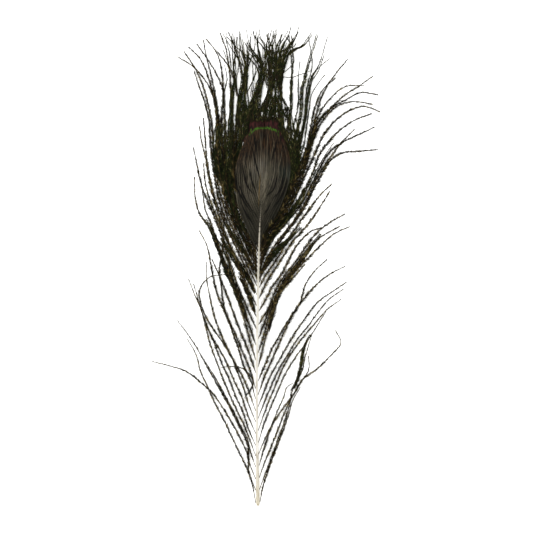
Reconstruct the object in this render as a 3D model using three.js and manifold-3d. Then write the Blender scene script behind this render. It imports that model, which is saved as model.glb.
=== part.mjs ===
// A peacock's tail feather with its stem cut short, lying face down with its dull reverse side up.
//
// Millimetres. X runs across the feather, Y along the shaft from its cut end to the eye, and Z up from
// the table. A barb's points are its place on the table as the feather is seen from above.
//
// Loose barbs grow from both sides of the shaft. Round the shaft's end the barbs hook together into the
// web of the eye, one half on each side, and come loose again beyond it as the crown.

import * as THREE from "three";
import { mergeVertices } from "three/addons/utils/BufferGeometryUtils.js";
import Module from "manifold-3d";

const manifold = await Module();
manifold.setup();

const HORN = { color: 0xd9ceb4, roughness: 0.5, metalness: 0 };
const BARB = { color: 0x2b2618, roughness: 0.7, metalness: 0 };
const WEB = { color: 0x4a443a, roughness: 0.7, metalness: 0 };

// The shaft's middle line, and its width and height at distances along it.
const SHAFT_LINE = [[-0.1, 0], [-0.6, 37.6], [-0.8, 75], [-0.5, 108], [0.4, 156], [1.5, 184.7], [3.7, 209]];
const SHAFT_SIZES = [
  { at: 0, width: 1.5, height: 1.5 },
  { at: 1.5, width: 2.4, height: 2.5 },
  { at: 16, width: 2.2, height: 2.3 },
  { at: 55, width: 1.5, height: 2 },
  { at: 130, width: 1.4, height: 1.7 },
  { at: 165, width: 1.15, height: 1.4 },
  { at: 195, width: 0.75, height: 1 },
  { at: 209.2, width: 0.3, height: 0.5 },
];
const SHAFT_SIDES = 12;
const SHAFT_STEPS = 26;
const GROOVE_SHARE = 0.16;
const BARB_ROOT_SHARE = 0.45;

// The shaft bows clear of the table between its cut end and the web, which both lie flat.
const BOW_END = 165;
const BOW_HEIGHT = 3;

// The loose barbs' ends come down to the table this far out at the cut end, and further out above it.
const SPREAD_AT_END = 10;
const SPREAD_GROWTH = 0.35;

const BARB_WIDTH = 0.7;
const BARB_HEIGHT = 0.4;
const ROOT_SHARE = 0.6;
const TIP_SHARE = 0.4;
const BARB_STEP = 11;
const LEAST_STEPS = 8;
const MOST_STEPS = 17;

// Barbs that cross lie on one another in layers. A barb climbs to its layer over its first part.
const LAYER = 0.5;
const MOST_LAYERS = 8;
const CLIMB = 9;
const CLEAR_ACROSS = 0.8;
const CLEAR_ABOVE = 0.44;
const SAMPLE = 0.6;

// Away from the web the barbs' ends lift a little from the table.
const LIFT_START = 238;
const LIFT_END = 302;
const LIFT_HEIGHT = 3;

const ROOT_GAP = 0.3;
const WEB_SEAM_SHIFT = 0.25;
const WEB_THICKNESS = 0.8;
const CROWN_STEPS = 8;

const LEFT_BARBS = [
  { root: 2.5, path: [[-3.6, 13], [-5, 18], [-8, 26], [-12.5, 35], [-20, 51], [-24.5, 60], [-30, 70],
    [-33.7, 80.7], [-36.5, 85.5], [-38.7, 93], [-40.6, 100], [-43.6, 103.3], [-45, 105.8]] },
  { root: 10.5, path: [[-3.2, 14], [-6.5, 23], [-7.7, 26.5], [-6.6, 30], [-7, 34], [-11.5, 43],
    [-17.5, 54], [-23.7, 64], [-27.5, 69.5], [-32.5, 75], [-38, 79.2], [-44.5, 84.2], [-51.5, 87.7],
    [-59.2, 88.8], [-67, 91.2]] },
  { root: 17.5, path: [[-3.5, 23], [-6, 29.5], [-6, 37], [-9.5, 45], [-15, 57], [-21.5, 69],
    [-28.5, 81.5], [-36.7, 96], [-40.5, 103.5], [-45, 109], [-48, 112.2], [-51, 117]] },
  { root: 25.2, path: [[-4.5, 33], [-6.6, 41.5], [-8.6, 45], [-14.2, 57], [-20.6, 69], [-27.4, 81.5],
    [-33.3, 91]] },
  { root: 32.3, path: [[-3, 36.5], [-5.2, 42], [-7, 47.5], [-12.5, 58.5], [-17.8, 70], [-23, 82.5],
    [-26, 90.5], [-29.5, 99.5], [-32.7, 112], [-36, 124], [-42.7, 139], [-44, 143.4]] },
  { root: 39, path: [[-3, 42.5], [-6.3, 49.5], [-8, 56], [-14, 69], [-18, 79.5], [-23, 90.5],
    [-28, 104], [-33.5, 117], [-37, 128], [-40.9, 140.5]] },
  { root: 46.5, path: [[-4.5, 53], [-8.8, 63], [-9.7, 67.5], [-14.2, 77], [-21.2, 93.5], [-26, 101.5],
    [-33, 114], [-35, 121], [-38.6, 131]] },
  { root: 54, path: [[-3.5, 58], [-8, 70], [-9.3, 75], [-14, 87.5], [-17, 95], [-24.5, 106.5],
    [-32.5, 118.5], [-36.8, 129.5], [-37, 136.5], [-34.4, 142.4], [-29.5, 144.8], [-20, 146.4]] },
  { root: 61, path: [[-3.5, 65], [-6.4, 74], [-10.5, 83], [-16, 93], [-22.5, 106], [-27.7, 120],
    [-30, 130], [-32.2, 141], [-33.3, 150], [-32.5, 154]] },
  { root: 68.5, path: [[-3.6, 75], [-4.8, 80], [-8.3, 86.5], [-12.5, 100], [-18, 115], [-21.4, 125],
    [-22.7, 135], [-24.5, 150], [-23.3, 157], [-21.8, 165], [-22, 178], [-19.7, 192]] },
  { root: 75, path: [[-4.3, 84], [-8, 93], [-12, 103], [-19.3, 119.5], [-24.2, 129], [-27.4, 140],
    [-30.3, 154.8], [-32.4, 164.3], [-37.2, 174]] },
  { root: 85, path: [[-3.5, 91], [-5.5, 96], [-13, 115], [-18.5, 130], [-23.8, 143.5], [-29, 155.5]] },
  { root: 93, path: [[-3, 98], [-5.5, 106], [-10.2, 123], [-15.4, 140.7], [-23.5, 159], [-30, 174.3],
    [-34.4, 180], [-38.4, 188.5], [-40.8, 203], [-40.2, 208]] },
  { root: 102.3, path: [[-3, 106.5], [-8, 121.5], [-12.5, 134], [-19.5, 149], [-25, 163],
    [-31.2, 183.3], [-34.4, 190.1], [-35.3, 199.5]] },
  { root: 112.5, path: [[-4.5, 119.5], [-10, 132], [-16, 148], [-24.4, 174.7], [-29.9, 187.9],
    [-36, 203.2], [-39.4, 219.5], [-41, 226.7]] },
  { root: 120, path: [[-5, 127.5], [-8.5, 140], [-15.5, 158], [-22.5, 174], [-28, 187], [-32.1, 198.7],
    [-34.4, 210.9], [-34.5, 217]] },
  { root: 127, path: [[-5, 134], [-11, 150], [-19, 168], [-25, 184], [-29.8, 203], [-33, 219.5],
    [-37.1, 235.3], [-37.2, 240.3]] },
  { root: 134, path: [[-6, 146], [-14, 163.5], [-21.5, 180], [-27.5, 194], [-32.4, 215], [-33, 230.4],
    [-34.9, 240.8], [-34.6, 245.3]] },
  { root: 139.4, path: [[-8, 155], [-16, 171], [-23, 187], [-26.8, 204], [-29.9, 226.7], [-31.5, 247.4],
    [-34.2, 256], [-40.5, 275]] },
  { root: 143.5, path: [[-10, 163], [-19.5, 183], [-25, 202], [-27.8, 222], [-29.5, 243], [-33.2, 260],
    [-38.2, 273.6], [-46.8, 287.2]] },
  { root: 147, path: [[-12, 170], [-20.5, 192], [-24.8, 215], [-26.3, 240], [-26.8, 254], [-32.6, 268],
    [-43.8, 280.2], [-50.8, 283.8]] },
  { root: 149.5, path: [[-5.5, 160], [-11, 172], [-16, 183], [-20.2, 194], [-23, 208], [-24.4, 225],
    [-26, 245], [-28.5, 260], [-33.8, 277.6], [-38.2, 284.6], [-43.8, 290]] },
  { root: 151.9, path: [[-5.4, 162.8], [-10.8, 174], [-18.3, 196], [-22, 222], [-23.4, 244],
    [-22.6, 252], [-21.8, 261], [-27, 274.4], [-36.2, 288.6], [-38.5, 291.8]] },
  { root: 154.2, path: [[-5, 165.2], [-9.7, 175.4], [-14, 185.5], [-17.6, 197], [-20.4, 210],
    [-22.2, 225], [-24.4, 240], [-26.8, 257], [-29.6, 272], [-33.2, 286], [-34.5, 294]] },
  { root: 156.6, path: [[-4.2, 166.2], [-8.6, 176.4], [-12.8, 186], [-16.2, 197], [-18.8, 210],
    [-20.2, 225], [-21, 240], [-21.9, 261.5], [-23.4, 277.6], [-27.8, 290], [-32.7, 295]] },
  { root: 159, path: [[-3.8, 167.6], [-7.7, 177.6], [-15.2, 198], [-17.2, 212], [-17.8, 226],
    [-16.9, 250], [-17.3, 264], [-18.8, 281.2], [-22.2, 295.6], [-24, 299]] },
  { root: 161.4, path: [[-3.3, 168.8], [-6.9, 179], [-10.8, 188], [-13.6, 198], [-15.4, 212],
    [-15.6, 226], [-14, 240], [-12.6, 256.8], [-14.6, 267.2], [-18.6, 277.6], [-25.6, 287]] },
  { root: 164, path: [[-2.6, 170], [-5.6, 180], [-11.2, 192], [-13.8, 203], [-14.4, 216], [-14, 228],
    [-11, 252], [-9.5, 268], [-12, 280.4], [-15.6, 293.6], [-18.7, 299.2]] },
];

const RIGHT_BARBS = [
  { root: 3, path: [[2, 8.5], [4.7, 17.5], [7.2, 25], [10.3, 33.5], [13.2, 41], [16.2, 49],
    [18.8, 56.5], [20.8, 62.5], [22.2, 68], [24, 72], [26.7, 75]] },
  { root: 11, path: [[2.5, 15], [5.5, 23], [8.6, 31], [11.6, 39.5], [14.6, 47.5], [17.2, 55],
    [19.2, 61.5], [20.6, 67.5], [21.6, 73], [22.8, 77.5], [26, 81], [27.8, 85.5], [28.8, 91.5],
    [30.5, 96.5], [32.7, 102], [33.3, 106]] },
  { root: 18.5, path: [[3, 25], [5.5, 30.5], [8.2, 37], [10.7, 43.5], [13, 49.5], [15.3, 55.5],
    [17.5, 60.5], [19.8, 66], [23, 71.5], [26, 76.8], [29.3, 81.5], [33.2, 88.2], [34.4, 90.8],
    [33.9, 93.2], [32, 94.8]] },
  { root: 26, path: [[2.6, 32.5], [4.4, 38], [5.8, 43], [9.9, 54], [12, 59.5], [14.6, 65], [17, 71],
    [19.8, 79], [22, 77.5]] },
  { root: 33.5, path: [[2.6, 39], [4.4, 42.8], [8.8, 50.8], [11.5, 55.5], [15, 60.5], [21.3, 68.8],
    [24.2, 73], [25.8, 77], [30, 81.5], [34, 84.3], [38, 87], [46, 95], [53, 103.5], [54, 105.8],
    [52.8, 108.5], [49, 110.8]] },
  { root: 41, path: [[2.3, 47.5], [4.5, 54], [7, 60], [9.5, 66], [12, 72], [15, 78.5], [17.5, 84],
    [20.5, 89.5], [27, 98.5], [33.5, 107.5], [38, 115], [43, 123]] },
  { root: 48.5, path: [[2.5, 55], [4.5, 60], [6.5, 65.5], [11, 76], [16, 88], [23, 99.5], [30, 108.5],
    [36.5, 116], [43, 123.5], [46.5, 126.5], [52.5, 130.5]] },
  { root: 56, path: [[2.5, 62], [5, 68], [7.5, 74], [13, 86], [20, 97.5], [26, 107], [34, 116.5],
    [41.5, 127.5], [49, 133.5], [54, 137]] },
  { root: 63.5, path: [[2, 69], [4.5, 74], [9.5, 85.5], [15, 95], [21, 105.5], [27, 114.5], [37, 128],
    [45, 134], [56, 141.5]] },
  { root: 71, path: [[1.5, 76], [4, 81.5], [9, 93], [13.5, 103], [17.5, 112], [21.5, 120],
    [26.5, 128.5], [28.3, 133], [29.5, 139], [33.5, 145.5], [39, 152], [43.5, 155.7]] },
  { root: 79.5, path: [[2, 84], [4.5, 89.5], [9.5, 100.5], [14.5, 109.5], [20, 118.5], [25.3, 126.5],
    [31, 133], [38, 141], [46, 147], [55, 151.5]] },
  { root: 88.5, path: [[1.6, 94], [3, 99.5], [6, 111], [9.8, 125.5], [12.2, 132], [19, 142.5],
    [27.5, 152.5], [36.5, 161.5], [42, 167], [48, 172], [58, 176.7]] },
  { root: 97.5, path: [[1.9, 103], [3.8, 108.5], [6.8, 119.5], [11.2, 133], [18, 144], [26.3, 154],
    [33.5, 164.5], [41, 171], [51.5, 176.7]] },
  { root: 106.5, path: [[2, 111], [3.9, 115.5], [7.6, 127], [13.3, 141], [21.3, 151], [28.7, 161.5],
    [36, 171.5], [45, 179], [54.7, 184.5]] },
  { root: 115, path: [[2.3, 118.5], [5.5, 122.5], [9.5, 129], [13.5, 134], [17.5, 139], [21.5, 143.5],
    [26, 148.5], [29.5, 152.5]] },
  { root: 123.5, path: [[2.5, 127], [5, 130.5], [8.7, 138.5], [14.3, 145.5], [18.6, 153.5],
    [22.5, 161.5], [28, 169], [35, 174.5], [41.5, 176.3]] },
  { root: 131.5, path: [[2.5, 135.5], [4.4, 139.5], [10.5, 149.5], [16.6, 158.8], [22.5, 168],
    [28.5, 174.5], [36, 184], [43, 195], [45.3, 199]] },
  { root: 138.5, path: [[2.2, 142], [4.8, 146], [11.4, 155.5], [17.5, 165.5], [24, 176], [32, 187],
    [40.5, 198], [46.5, 203.5]] },
  { root: 143, path: [[6.6, 155], [13.8, 167], [20.5, 176], [28.6, 187.3], [32.3, 195], [36, 201.8],
    [42, 213], [47.8, 221.5], [51, 223.3], [61, 224], [71.5, 225.2], [74, 226.6], [75.7, 225.6]] },
  { root: 146, path: [[4.8, 155], [12.2, 167], [19.2, 176], [27.9, 187.8], [34.5, 201.8], [41, 213.7],
    [47, 222.3], [52, 229], [61, 238.3]] },
  { root: 151, path: [[5, 160.5], [11.6, 172], [18.6, 180], [27.2, 190.5], [33.5, 202.5], [39.7, 215],
    [45, 223.7], [52.5, 229.4], [60, 233.2], [73.5, 239.6]] },
  { root: 153.6, path: [[4.9, 162.6], [9.6, 172], [15.9, 180], [22.9, 190], [30.5, 201.8], [35.5, 213],
    [36.9, 218.5], [42.8, 228], [50, 236], [59, 243.3], [69, 246.3], [71.8, 248.2]] },
  { root: 156.1, path: [[4.6, 164.6], [8.6, 172], [14.6, 180], [20.9, 190], [25.6, 200], [30.2, 210],
    [34.9, 220], [40, 232], [47.5, 242.5], [58, 250.3], [67.5, 252.8], [73.5, 250.2], [77, 249.6]] },
  { root: 158.6, path: [[4.2, 166.2], [7.7, 172.2], [13.5, 180], [19.7, 190], [24.5, 200], [28.6, 210],
    [31.8, 220], [34.4, 230], [39, 240.5], [44, 247.3], [52, 253.8], [58.5, 255.9], [66.5, 254.2],
    [72, 253.9]] },
  { root: 161, path: [[4, 168], [6.8, 172.6], [12.6, 180], [18.6, 190], [23.4, 200], [27.5, 210],
    [31.2, 220], [33.9, 230], [38, 242.3], [45, 250.5], [53, 255.3], [62, 260.2], [67, 261.1],
    [75.6, 259.8]] },
  { root: 163.4, path: [[3.8, 169.8], [6, 173], [11.6, 180], [17.5, 190], [22.3, 200], [26.4, 210],
    [30.6, 220], [33.4, 230], [37.4, 241.7], [44.3, 249.3], [51.5, 257.2], [60, 262.7], [72.6, 271.7]] },
  { root: 165.8, path: [[3.4, 171.3], [5.1, 173.9], [10.6, 180], [16.4, 190], [21.2, 200], [25.3, 210],
    [30, 220], [32.9, 230], [36.8, 243.5], [41, 251.5], [49, 261], [57, 265.5], [66.5, 265.6]] },
  { root: 168.2, path: [[3.4, 172.6], [4.7, 174.4], [9.6, 180], [15.3, 190], [20, 200], [24.2, 210],
    [29.4, 220], [32.4, 230], [36.3, 245], [39, 255.5], [43.6, 265.6], [50, 274.5], [56.6, 282.2]] },
  { root: 170.6, path: [[3.8, 175.4], [8.6, 181.4], [14.2, 190], [18.8, 200], [22.9, 210], [28.8, 221],
    [31.8, 231], [34.8, 247], [37.8, 257.6], [43, 266], [49, 270.7]] },
];

const LEFT_CROWN = [
  [[-9, 230], [-13.6, 238], [-15, 248], [-14.6, 262], [-14.4, 272], [-16.4, 280], [-17.2, 292],
    [-17, 299.5]],
  [[-6, 236], [-10.6, 248], [-9.7, 262], [-9.2, 272], [-10.4, 282], [-11.4, 291], [-11, 298.5]],
  [[-4, 237], [-8, 250], [-7, 264], [-6.4, 278], [-7, 290], [-9.8, 300.5]],
  [[-2, 238], [-6, 250], [-5.6, 266], [-5.6, 282], [-5.3, 292], [-6.8, 299.5]],
  [[0, 238], [-3.5, 252], [-2.2, 266], [-3.5, 278], [-3.3, 290], [-2.4, 301]],
  [[2, 238], [-0.8, 252], [0.8, 268], [1.2, 282], [-1.2, 291], [-1.0, 301.3]],
  [[3, 238], [1.6, 250], [2.4, 268], [2.8, 280], [4, 290], [1.4, 299]],
];

const RIGHT_CROWN = [
  [[6, 237], [5, 252], [5.3, 268], [5.4, 282], [5.6, 291], [6, 298.5]],
  [[8, 236], [8, 252], [8, 266], [7, 278], [9.3, 288], [8.3, 297.8]],
  [[10, 235], [10, 252], [11, 268], [10.5, 282], [9.5, 292], [10.7, 302]],
  [[11, 234], [12.3, 252], [13, 268], [13.8, 282], [15, 291], [15.6, 299.5]],
  [[12.5, 232], [14.5, 250], [14.8, 268], [15.3, 282], [18.5, 291], [20.7, 302.3]],
  [[13.5, 230], [16.5, 248], [16.5, 264], [16.5, 278], [19, 284.7], [25.6, 290.2], [31.5, 299.2]],
  [[14.5, 226], [19, 242], [20.7, 254], [20.9, 264], [21.8, 276], [21.5, 284], [20.5, 297]],
  [[15, 222], [20.5, 238], [22, 250], [22.8, 260], [25.8, 282], [25.6, 290], [22.6, 296.5]],
  [[15.2, 212], [21.5, 228], [25, 240], [26.8, 252], [27, 262], [29.5, 271], [33.6, 290], [35.3, 297.7]],
  [[14.8, 206], [22, 222], [26.5, 236], [29, 250], [30.3, 261], [33, 270], [36.8, 279.5], [38.8, 296.2]],
  [[13.6, 202], [22.8, 220], [27.5, 234], [30, 247], [31.3, 258], [34, 268], [38.5, 275.5],
    [44.7, 293.2]],
  [[13.2, 200], [23.2, 219], [27.8, 232], [30.2, 245.5], [31.6, 256], [35.5, 274], [40.5, 282],
    [49.8, 290.2]],
  [[12.8, 198], [24.2, 215], [28.8, 228], [31, 241], [32.4, 251], [34.6, 261.5], [43.5, 274],
    [49.5, 280], [54.7, 287.3]],
];

// The outer edge of each half of the web, from its point on the shaft to its top.
const LEFT_WEB = [[-0.2, 172], [-2.4, 176], [-4.6, 181.6], [-9.4, 190], [-12, 199], [-13.2, 208], [-13, 217],
  [-12.2, 226], [-10.4, 233], [-7.5, 238], [-3, 240.4], [3.9, 241]];
const RIGHT_WEB = [[3.2, 177.4], [6.4, 182.6], [10.4, 189], [14, 196.6], [16.4, 203.6], [17.8, 212],
  [17.7, 221], [16.2, 229.6], [13.2, 236.2], [9.4, 239.8], [4.5, 241]];
const WEB_START = 172;
const WEB_MEETS = [[3.9, 214], [4.2, 226]];
const WEB_INNER_STEP = 10;

const shaftLine = new THREE.SplineCurve(SHAFT_LINE.map(([x, y]) => new THREE.Vector2(x, y)));
const shaftLength = shaftLine.getLength();

function smooth(value, low, high) {
  return THREE.MathUtils.smoothstep(value, low, high);
}

function bow(along) {
  return along < BOW_END ? BOW_HEIGHT * Math.sin((Math.PI * along) / BOW_END) : 0;
}

// The shaft's width or height, taken in a straight line between the two nearest stated places.
function shaftSize(along, key) {
  const next = SHAFT_SIZES.find((size) => size.at >= along) ?? SHAFT_SIZES.at(-1);
  const last = SHAFT_SIZES[Math.max(0, SHAFT_SIZES.indexOf(next) - 1)];
  const share = next === last ? 0 : (along - last.at) / (next.at - last.at);
  return THREE.MathUtils.lerp(last[key], next[key], share);
}

// How high a barb of the lowest layer lies over this place on the table.
function restingHeight(x, y) {
  const halfWidth = SPREAD_AT_END + SPREAD_GROWTH * y;
  const outward = Math.min(1, Math.abs(x) / halfWidth);
  const lift = LIFT_HEIGHT * smooth(y, LIFT_START, LIFT_END);
  return BARB_HEIGHT / 2 + bow(Math.max(0, y)) * (1 - outward ** 2) + lift;
}

function shaftGeometry() {
  const tube = new THREE.CylinderGeometry(1, 1, 1, SHAFT_SIDES, SHAFT_STEPS);
  const places = tube.attributes.position;
  const place = new THREE.Vector3();
  for (let i = 0; i < places.count; i++) {
    place.fromBufferAttribute(places, i);
    const step = Math.round((place.y + 0.5) * SHAFT_STEPS);
    const along = step === 0 ? 0 : SHAFT_SIZES[1].at +
      ((step - 1) / (SHAFT_STEPS - 1)) * (shaftLength - SHAFT_SIZES[1].at);
    const centre = shaftLine.getPointAt(Math.min(1, along / shaftLength));
    const height = shaftSize(along, "height");
    const groove = place.z > 0.99 ? GROOVE_SHARE * height : 0;
    const across = (place.x * shaftSize(along, "width")) / 2;
    const up = (place.z * height) / 2 - groove;
    places.setXYZ(i, centre.x + across, centre.y, bow(along) + height / 2 + up);
  }
  return tube;
}

// A barb's middle line, with its samples from root to tip.
function barbLine(points) {
  const line = new THREE.SplineCurve(points.map(([x, y]) => new THREE.Vector2(x, y)));
  const length = line.getLength();
  return { line, length, samples: line.getSpacedPoints(Math.ceil(length / SAMPLE)) };
}

function heightAt(barb, share, layer) {
  const place = barb.line.getPointAt(share);
  const climbed = smooth(share * barb.length, 0, CLIMB);
  const laid = restingHeight(place.x, place.y) + layer * LAYER;
  return THREE.MathUtils.lerp(barb.rootHeight, laid, climbed);
}

function sampleHeights(barb, layer) {
  return barb.samples.map((_, i) => heightAt(barb, i / (barb.samples.length - 1), layer));
}

// Pairs of samples where two barbs come close as seen from above.
function nearPairs(a, b) {
  const pairs = [];
  a.samples.forEach((p, i) => {
    b.samples.forEach((q, j) => {
      if (p.distanceToSquared(q) < CLEAR_ACROSS ** 2) pairs.push([i, j]);
    });
  });
  return pairs;
}

// Gives each barb the lowest layer that is clear of every barb laid before it.
function layBarbs(barbs) {
  const laid = [];
  for (const barb of barbs) {
    const neighbours = laid
      .filter((other) => other.node !== barb.node)
      .map((other) => ({ other, pairs: nearPairs(barb, other) }))
      .filter(({ pairs }) => pairs.length > 0);
    for (barb.layer = 0; barb.layer < MOST_LAYERS; barb.layer++) {
      const heights = sampleHeights(barb, barb.layer);
      const clear = neighbours.every(({ other, pairs }) =>
        pairs.every(([i, j]) => Math.abs(heights[i] - other.heights[j]) >= CLEAR_ABOVE));
      if (clear) break;
    }
    barb.heights = sampleHeights(barb, barb.layer);
    laid.push(barb);
  }
}

// A four-sided tube that narrows towards both ends of the barb.
function barbGeometry(barb, steps) {
  const tube = new THREE.CylinderGeometry(1, 1, 1, 4, steps);
  const places = tube.attributes.position;
  const place = new THREE.Vector3();
  for (let i = 0; i < places.count; i++) {
    place.fromBufferAttribute(places, i);
    const share = THREE.MathUtils.clamp(place.y + 0.5, 0, 1);
    const centre = barb.line.getPointAt(share);
    const heading = barb.line.getTangentAt(share);
    const taper = ROOT_SHARE + (1 - ROOT_SHARE) * smooth(share, 0, 0.1);
    const narrow = taper * THREE.MathUtils.lerp(1, TIP_SHARE, smooth(share, 0.4, 1));
    const across = (place.x * narrow * BARB_WIDTH) / 2;
    const up = (place.z * narrow * BARB_HEIGHT) / 2;
    const z = heightAt(barb, share, barb.layer) + up;
    places.setXYZ(i, centre.x + heading.y * across, centre.y - heading.x * across, z);
  }
  return tube;
}

function solidOf(geometry) {
  const loose = geometry.index ? geometry.toNonIndexed() : geometry;
  const bare = new THREE.BufferGeometry().setAttribute("position", loose.attributes.position);
  const merged = mergeVertices(bare, 1e-3);
  return new manifold.Manifold(new manifold.Mesh({
    numProp: 3,
    vertProperties: merged.attributes.position.array,
    triVerts: new Uint32Array(merged.index.array),
  }));
}

function geometryOf(solid) {
  const mesh = solid.getMesh();
  const geometry = new THREE.BufferGeometry();
  geometry.setAttribute("position", new THREE.BufferAttribute(mesh.vertProperties, 3));
  geometry.setIndex(new THREE.BufferAttribute(mesh.triVerts, 1));
  geometry.computeVertexNormals();
  return geometry;
}

// The inner edge of half a web, from its top down to its point, a gap away from the shaft's side.
function innerEdge(side) {
  const edge = WEB_MEETS.map(([x, y]) => [x + side * ROOT_GAP / 2 + WEB_SEAM_SHIFT, y]).reverse();
  for (let along = shaftLength - 2; along > WEB_START; along -= WEB_INNER_STEP) {
    const centre = shaftLine.getPointAt(along / shaftLength);
    edge.push([centre.x + side * (shaftSize(along, "width") / 2 + ROOT_GAP), centre.y]);
  }
  return edge;
}

// Half of the web as a thin plate, joined with the loose ends that stand out beyond it.
function webSolid(side, outline, crown) {
  const corners = [...outline, ...innerEdge(side)].map(([x, y]) => new THREE.Vector2(x, y));
  const shape = new THREE.Shape(corners);
  const plate = new THREE.ExtrudeGeometry(shape, { depth: WEB_THICKNESS, bevelEnabled: false });
  const ends = crown.map((barb) => solidOf(barbGeometry(barb, CROWN_STEPS)));
  return manifold.Manifold.union([solidOf(plate), ...ends]);
}

function rootedBarb(name, side, { root, path }) {
  const share = root / shaftLength;
  const centre = shaftLine.getPointAt(share);
  const across = shaftSize(root, "width") / 2 + ROOT_GAP;
  const barb = barbLine([[centre.x + side * across, centre.y], ...path]);
  const rootHeight = bow(root) + BARB_ROOT_SHARE * shaftSize(root, "height");
  return { ...barb, node: name, rootHeight };
}

function crownBarb(node, path) {
  return { ...barbLine(path), node, rootHeight: WEB_THICKNESS / 2 };
}

function named(name, geometry, look) {
  const mesh = new THREE.Mesh(geometry, new THREE.MeshStandardMaterial(look));
  mesh.name = name;
  return mesh;
}

function numbered(prefix, index) {
  return `${prefix}_${String(index + 1).padStart(2, "0")}`;
}

const leftCrown = LEFT_CROWN.map((path) => crownBarb("web_left", path));
const rightCrown = RIGHT_CROWN.map((path) => crownBarb("web_right", path));
const leftBarbs = LEFT_BARBS.map((barb, i) => rootedBarb(numbered("barb_left", i), -1, barb));
const rightBarbs = RIGHT_BARBS.map((barb, i) => rootedBarb(numbered("barb_right", i), 1, barb));
layBarbs([...leftCrown, ...rightCrown, ...leftBarbs.toReversed(), ...rightBarbs.toReversed()]);

const feather = new THREE.Group();
feather.add(named("shaft", shaftGeometry(), HORN));
feather.add(named("web_left", geometryOf(webSolid(-1, LEFT_WEB, leftCrown)), WEB));
feather.add(named("web_right", geometryOf(webSolid(1, RIGHT_WEB, rightCrown)), WEB));
for (const barb of [...leftBarbs, ...rightBarbs]) {
  const steps = THREE.MathUtils.clamp(Math.round(barb.length / BARB_STEP), LEAST_STEPS, MOST_STEPS);
  feather.add(named(barb.node, barbGeometry(barb, steps), BARB));
}

// The origin is on the table, under the middle of the feather.
feather.updateMatrixWorld(true);
const extent = new THREE.Box3().setFromObject(feather, true);
const middle = extent.getCenter(new THREE.Vector3());
feather.position.set(-middle.x, -middle.y, -extent.min.z);

const part = new THREE.Group();
part.add(feather);

export default part;
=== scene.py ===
"""A peacock's tail feather lying face down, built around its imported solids.

Lengths are in metres in the part's frame. The solids give each loose barb's own line. This script
grows the fine barbules along those lines, hooks the barbs of the eye's web together, and fans out
the free ends beyond it.
"""

import math

import bmesh
import bpy
import numpy as np
from bpy.props import FloatProperty, FloatVectorProperty, IntProperty, PointerProperty
from bpy.types import Operator, Panel, PropertyGroup
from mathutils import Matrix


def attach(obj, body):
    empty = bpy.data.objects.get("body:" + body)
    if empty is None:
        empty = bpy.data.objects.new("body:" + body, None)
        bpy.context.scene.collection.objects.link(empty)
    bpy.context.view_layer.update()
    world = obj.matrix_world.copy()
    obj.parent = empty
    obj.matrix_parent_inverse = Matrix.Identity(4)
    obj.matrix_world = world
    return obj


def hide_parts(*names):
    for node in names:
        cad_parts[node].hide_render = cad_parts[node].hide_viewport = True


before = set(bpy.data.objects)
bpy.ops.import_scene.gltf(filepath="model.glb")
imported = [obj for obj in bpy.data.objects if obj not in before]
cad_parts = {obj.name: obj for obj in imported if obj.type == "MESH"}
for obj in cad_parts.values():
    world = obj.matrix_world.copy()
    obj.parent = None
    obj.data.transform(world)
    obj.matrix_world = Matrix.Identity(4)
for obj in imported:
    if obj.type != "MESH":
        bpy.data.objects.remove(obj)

bl_info = {
    "name": "Peacock Feather",
    "version": (1, 0, 0),
    "blender": (4, 5, 0),
    "location": "3D View > Sidebar > Feather",
    "description": "Builds a peacock's eye feather lying on a table",
    "category": "Object",
}

MM = 0.001
SEED = 41
UV_NAME = "OFBake"
SHAFT_SIDES = 12
BARB_SIDES = 4
# Nothing of the feather is lower than this over the table.
LOWEST = 0.02 * MM

# A loose barb's map runs along it in U. In V its quill has the band below QUILL_BAND, the ones
# with a pale root above PALE_QUILL, and its barbules' tints go from dark to pale in TINT_RANGE.
QUILL_BAND = 0.1
PALE_QUILL = 0.05
TINT_RANGE = (0.13, 0.985)
TINT_SPOT = 0.008

# A quill's sides, the distance between its rings, and how much it narrows and is flattened.
QUILL_SIDES = 5
QUILL_STEP = 2.2 * MM
QUILL_NARROWS = 0.2
QUILL_FLATNESS = 0.8

# Barbules lean from the quill by BARBULE_ANGLE degrees, less ANGLE_CLOSES at its tip, and rise by
# BARBULE_RISE. About CLUMP neighbours share a length and a tint. TUFT_PULL draws a tuft's tips
# together. At the barb's root they have the share SHORTEST of their length, and they lose
# TIP_SHORTENS of it over the last SHORTENS_OVER of the barb.
BARBULE_ANGLE, ANGLE_SPREAD, ANGLE_CLOSES = 44, 11, 10
BARBULE_RISE, RISE_SPREAD, RISE_SHARE = 4, 11, 0.6
CLUMP = 7
TUFT_PULL = 0.45
SHORTEST = 0.22
TIP_SHORTENS, SHORTENS_OVER = 0.75, 0.4
# How ragged their lengths are: the least share of the full one, and how much each differs by.
RAGGED_LEAST, RAGGED_OWN = 0.28, 0.4
# How far their tints stray from the barb's by clumps and one by one, and how much the tip pales.
TINT_CLUMPS, TINT_OWN, TIP_PALER = 0.85, 0.3, 0.1

# Where up the shaft, in metres from its cut end, the loose barbs' barbules lengthen, their roots
# are pale, and they turn darker, by DARKENING from a tint within HERL_TINTS.
LENGTHENS = (0.04, 0.11)
PALE_ROOTS = (0.085, 0.147)
DARKENS = (0.12, 0.155)
DARKENING = 0.14
HERL_TINTS = (0.36, 0.62)
CROWN_TINTS = (0.25, 0.54)
# Share of a barb over which its barbules grow to their full length: low ones, high ones, crown.
LOW_BASE, HIGH_BASE, CROWN_BASE = 0.16, 0.06, 0.09
# How far a barb's quill runs on into the shaft, as a share of its first step.
INTO_SHAFT = 0.07

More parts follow.
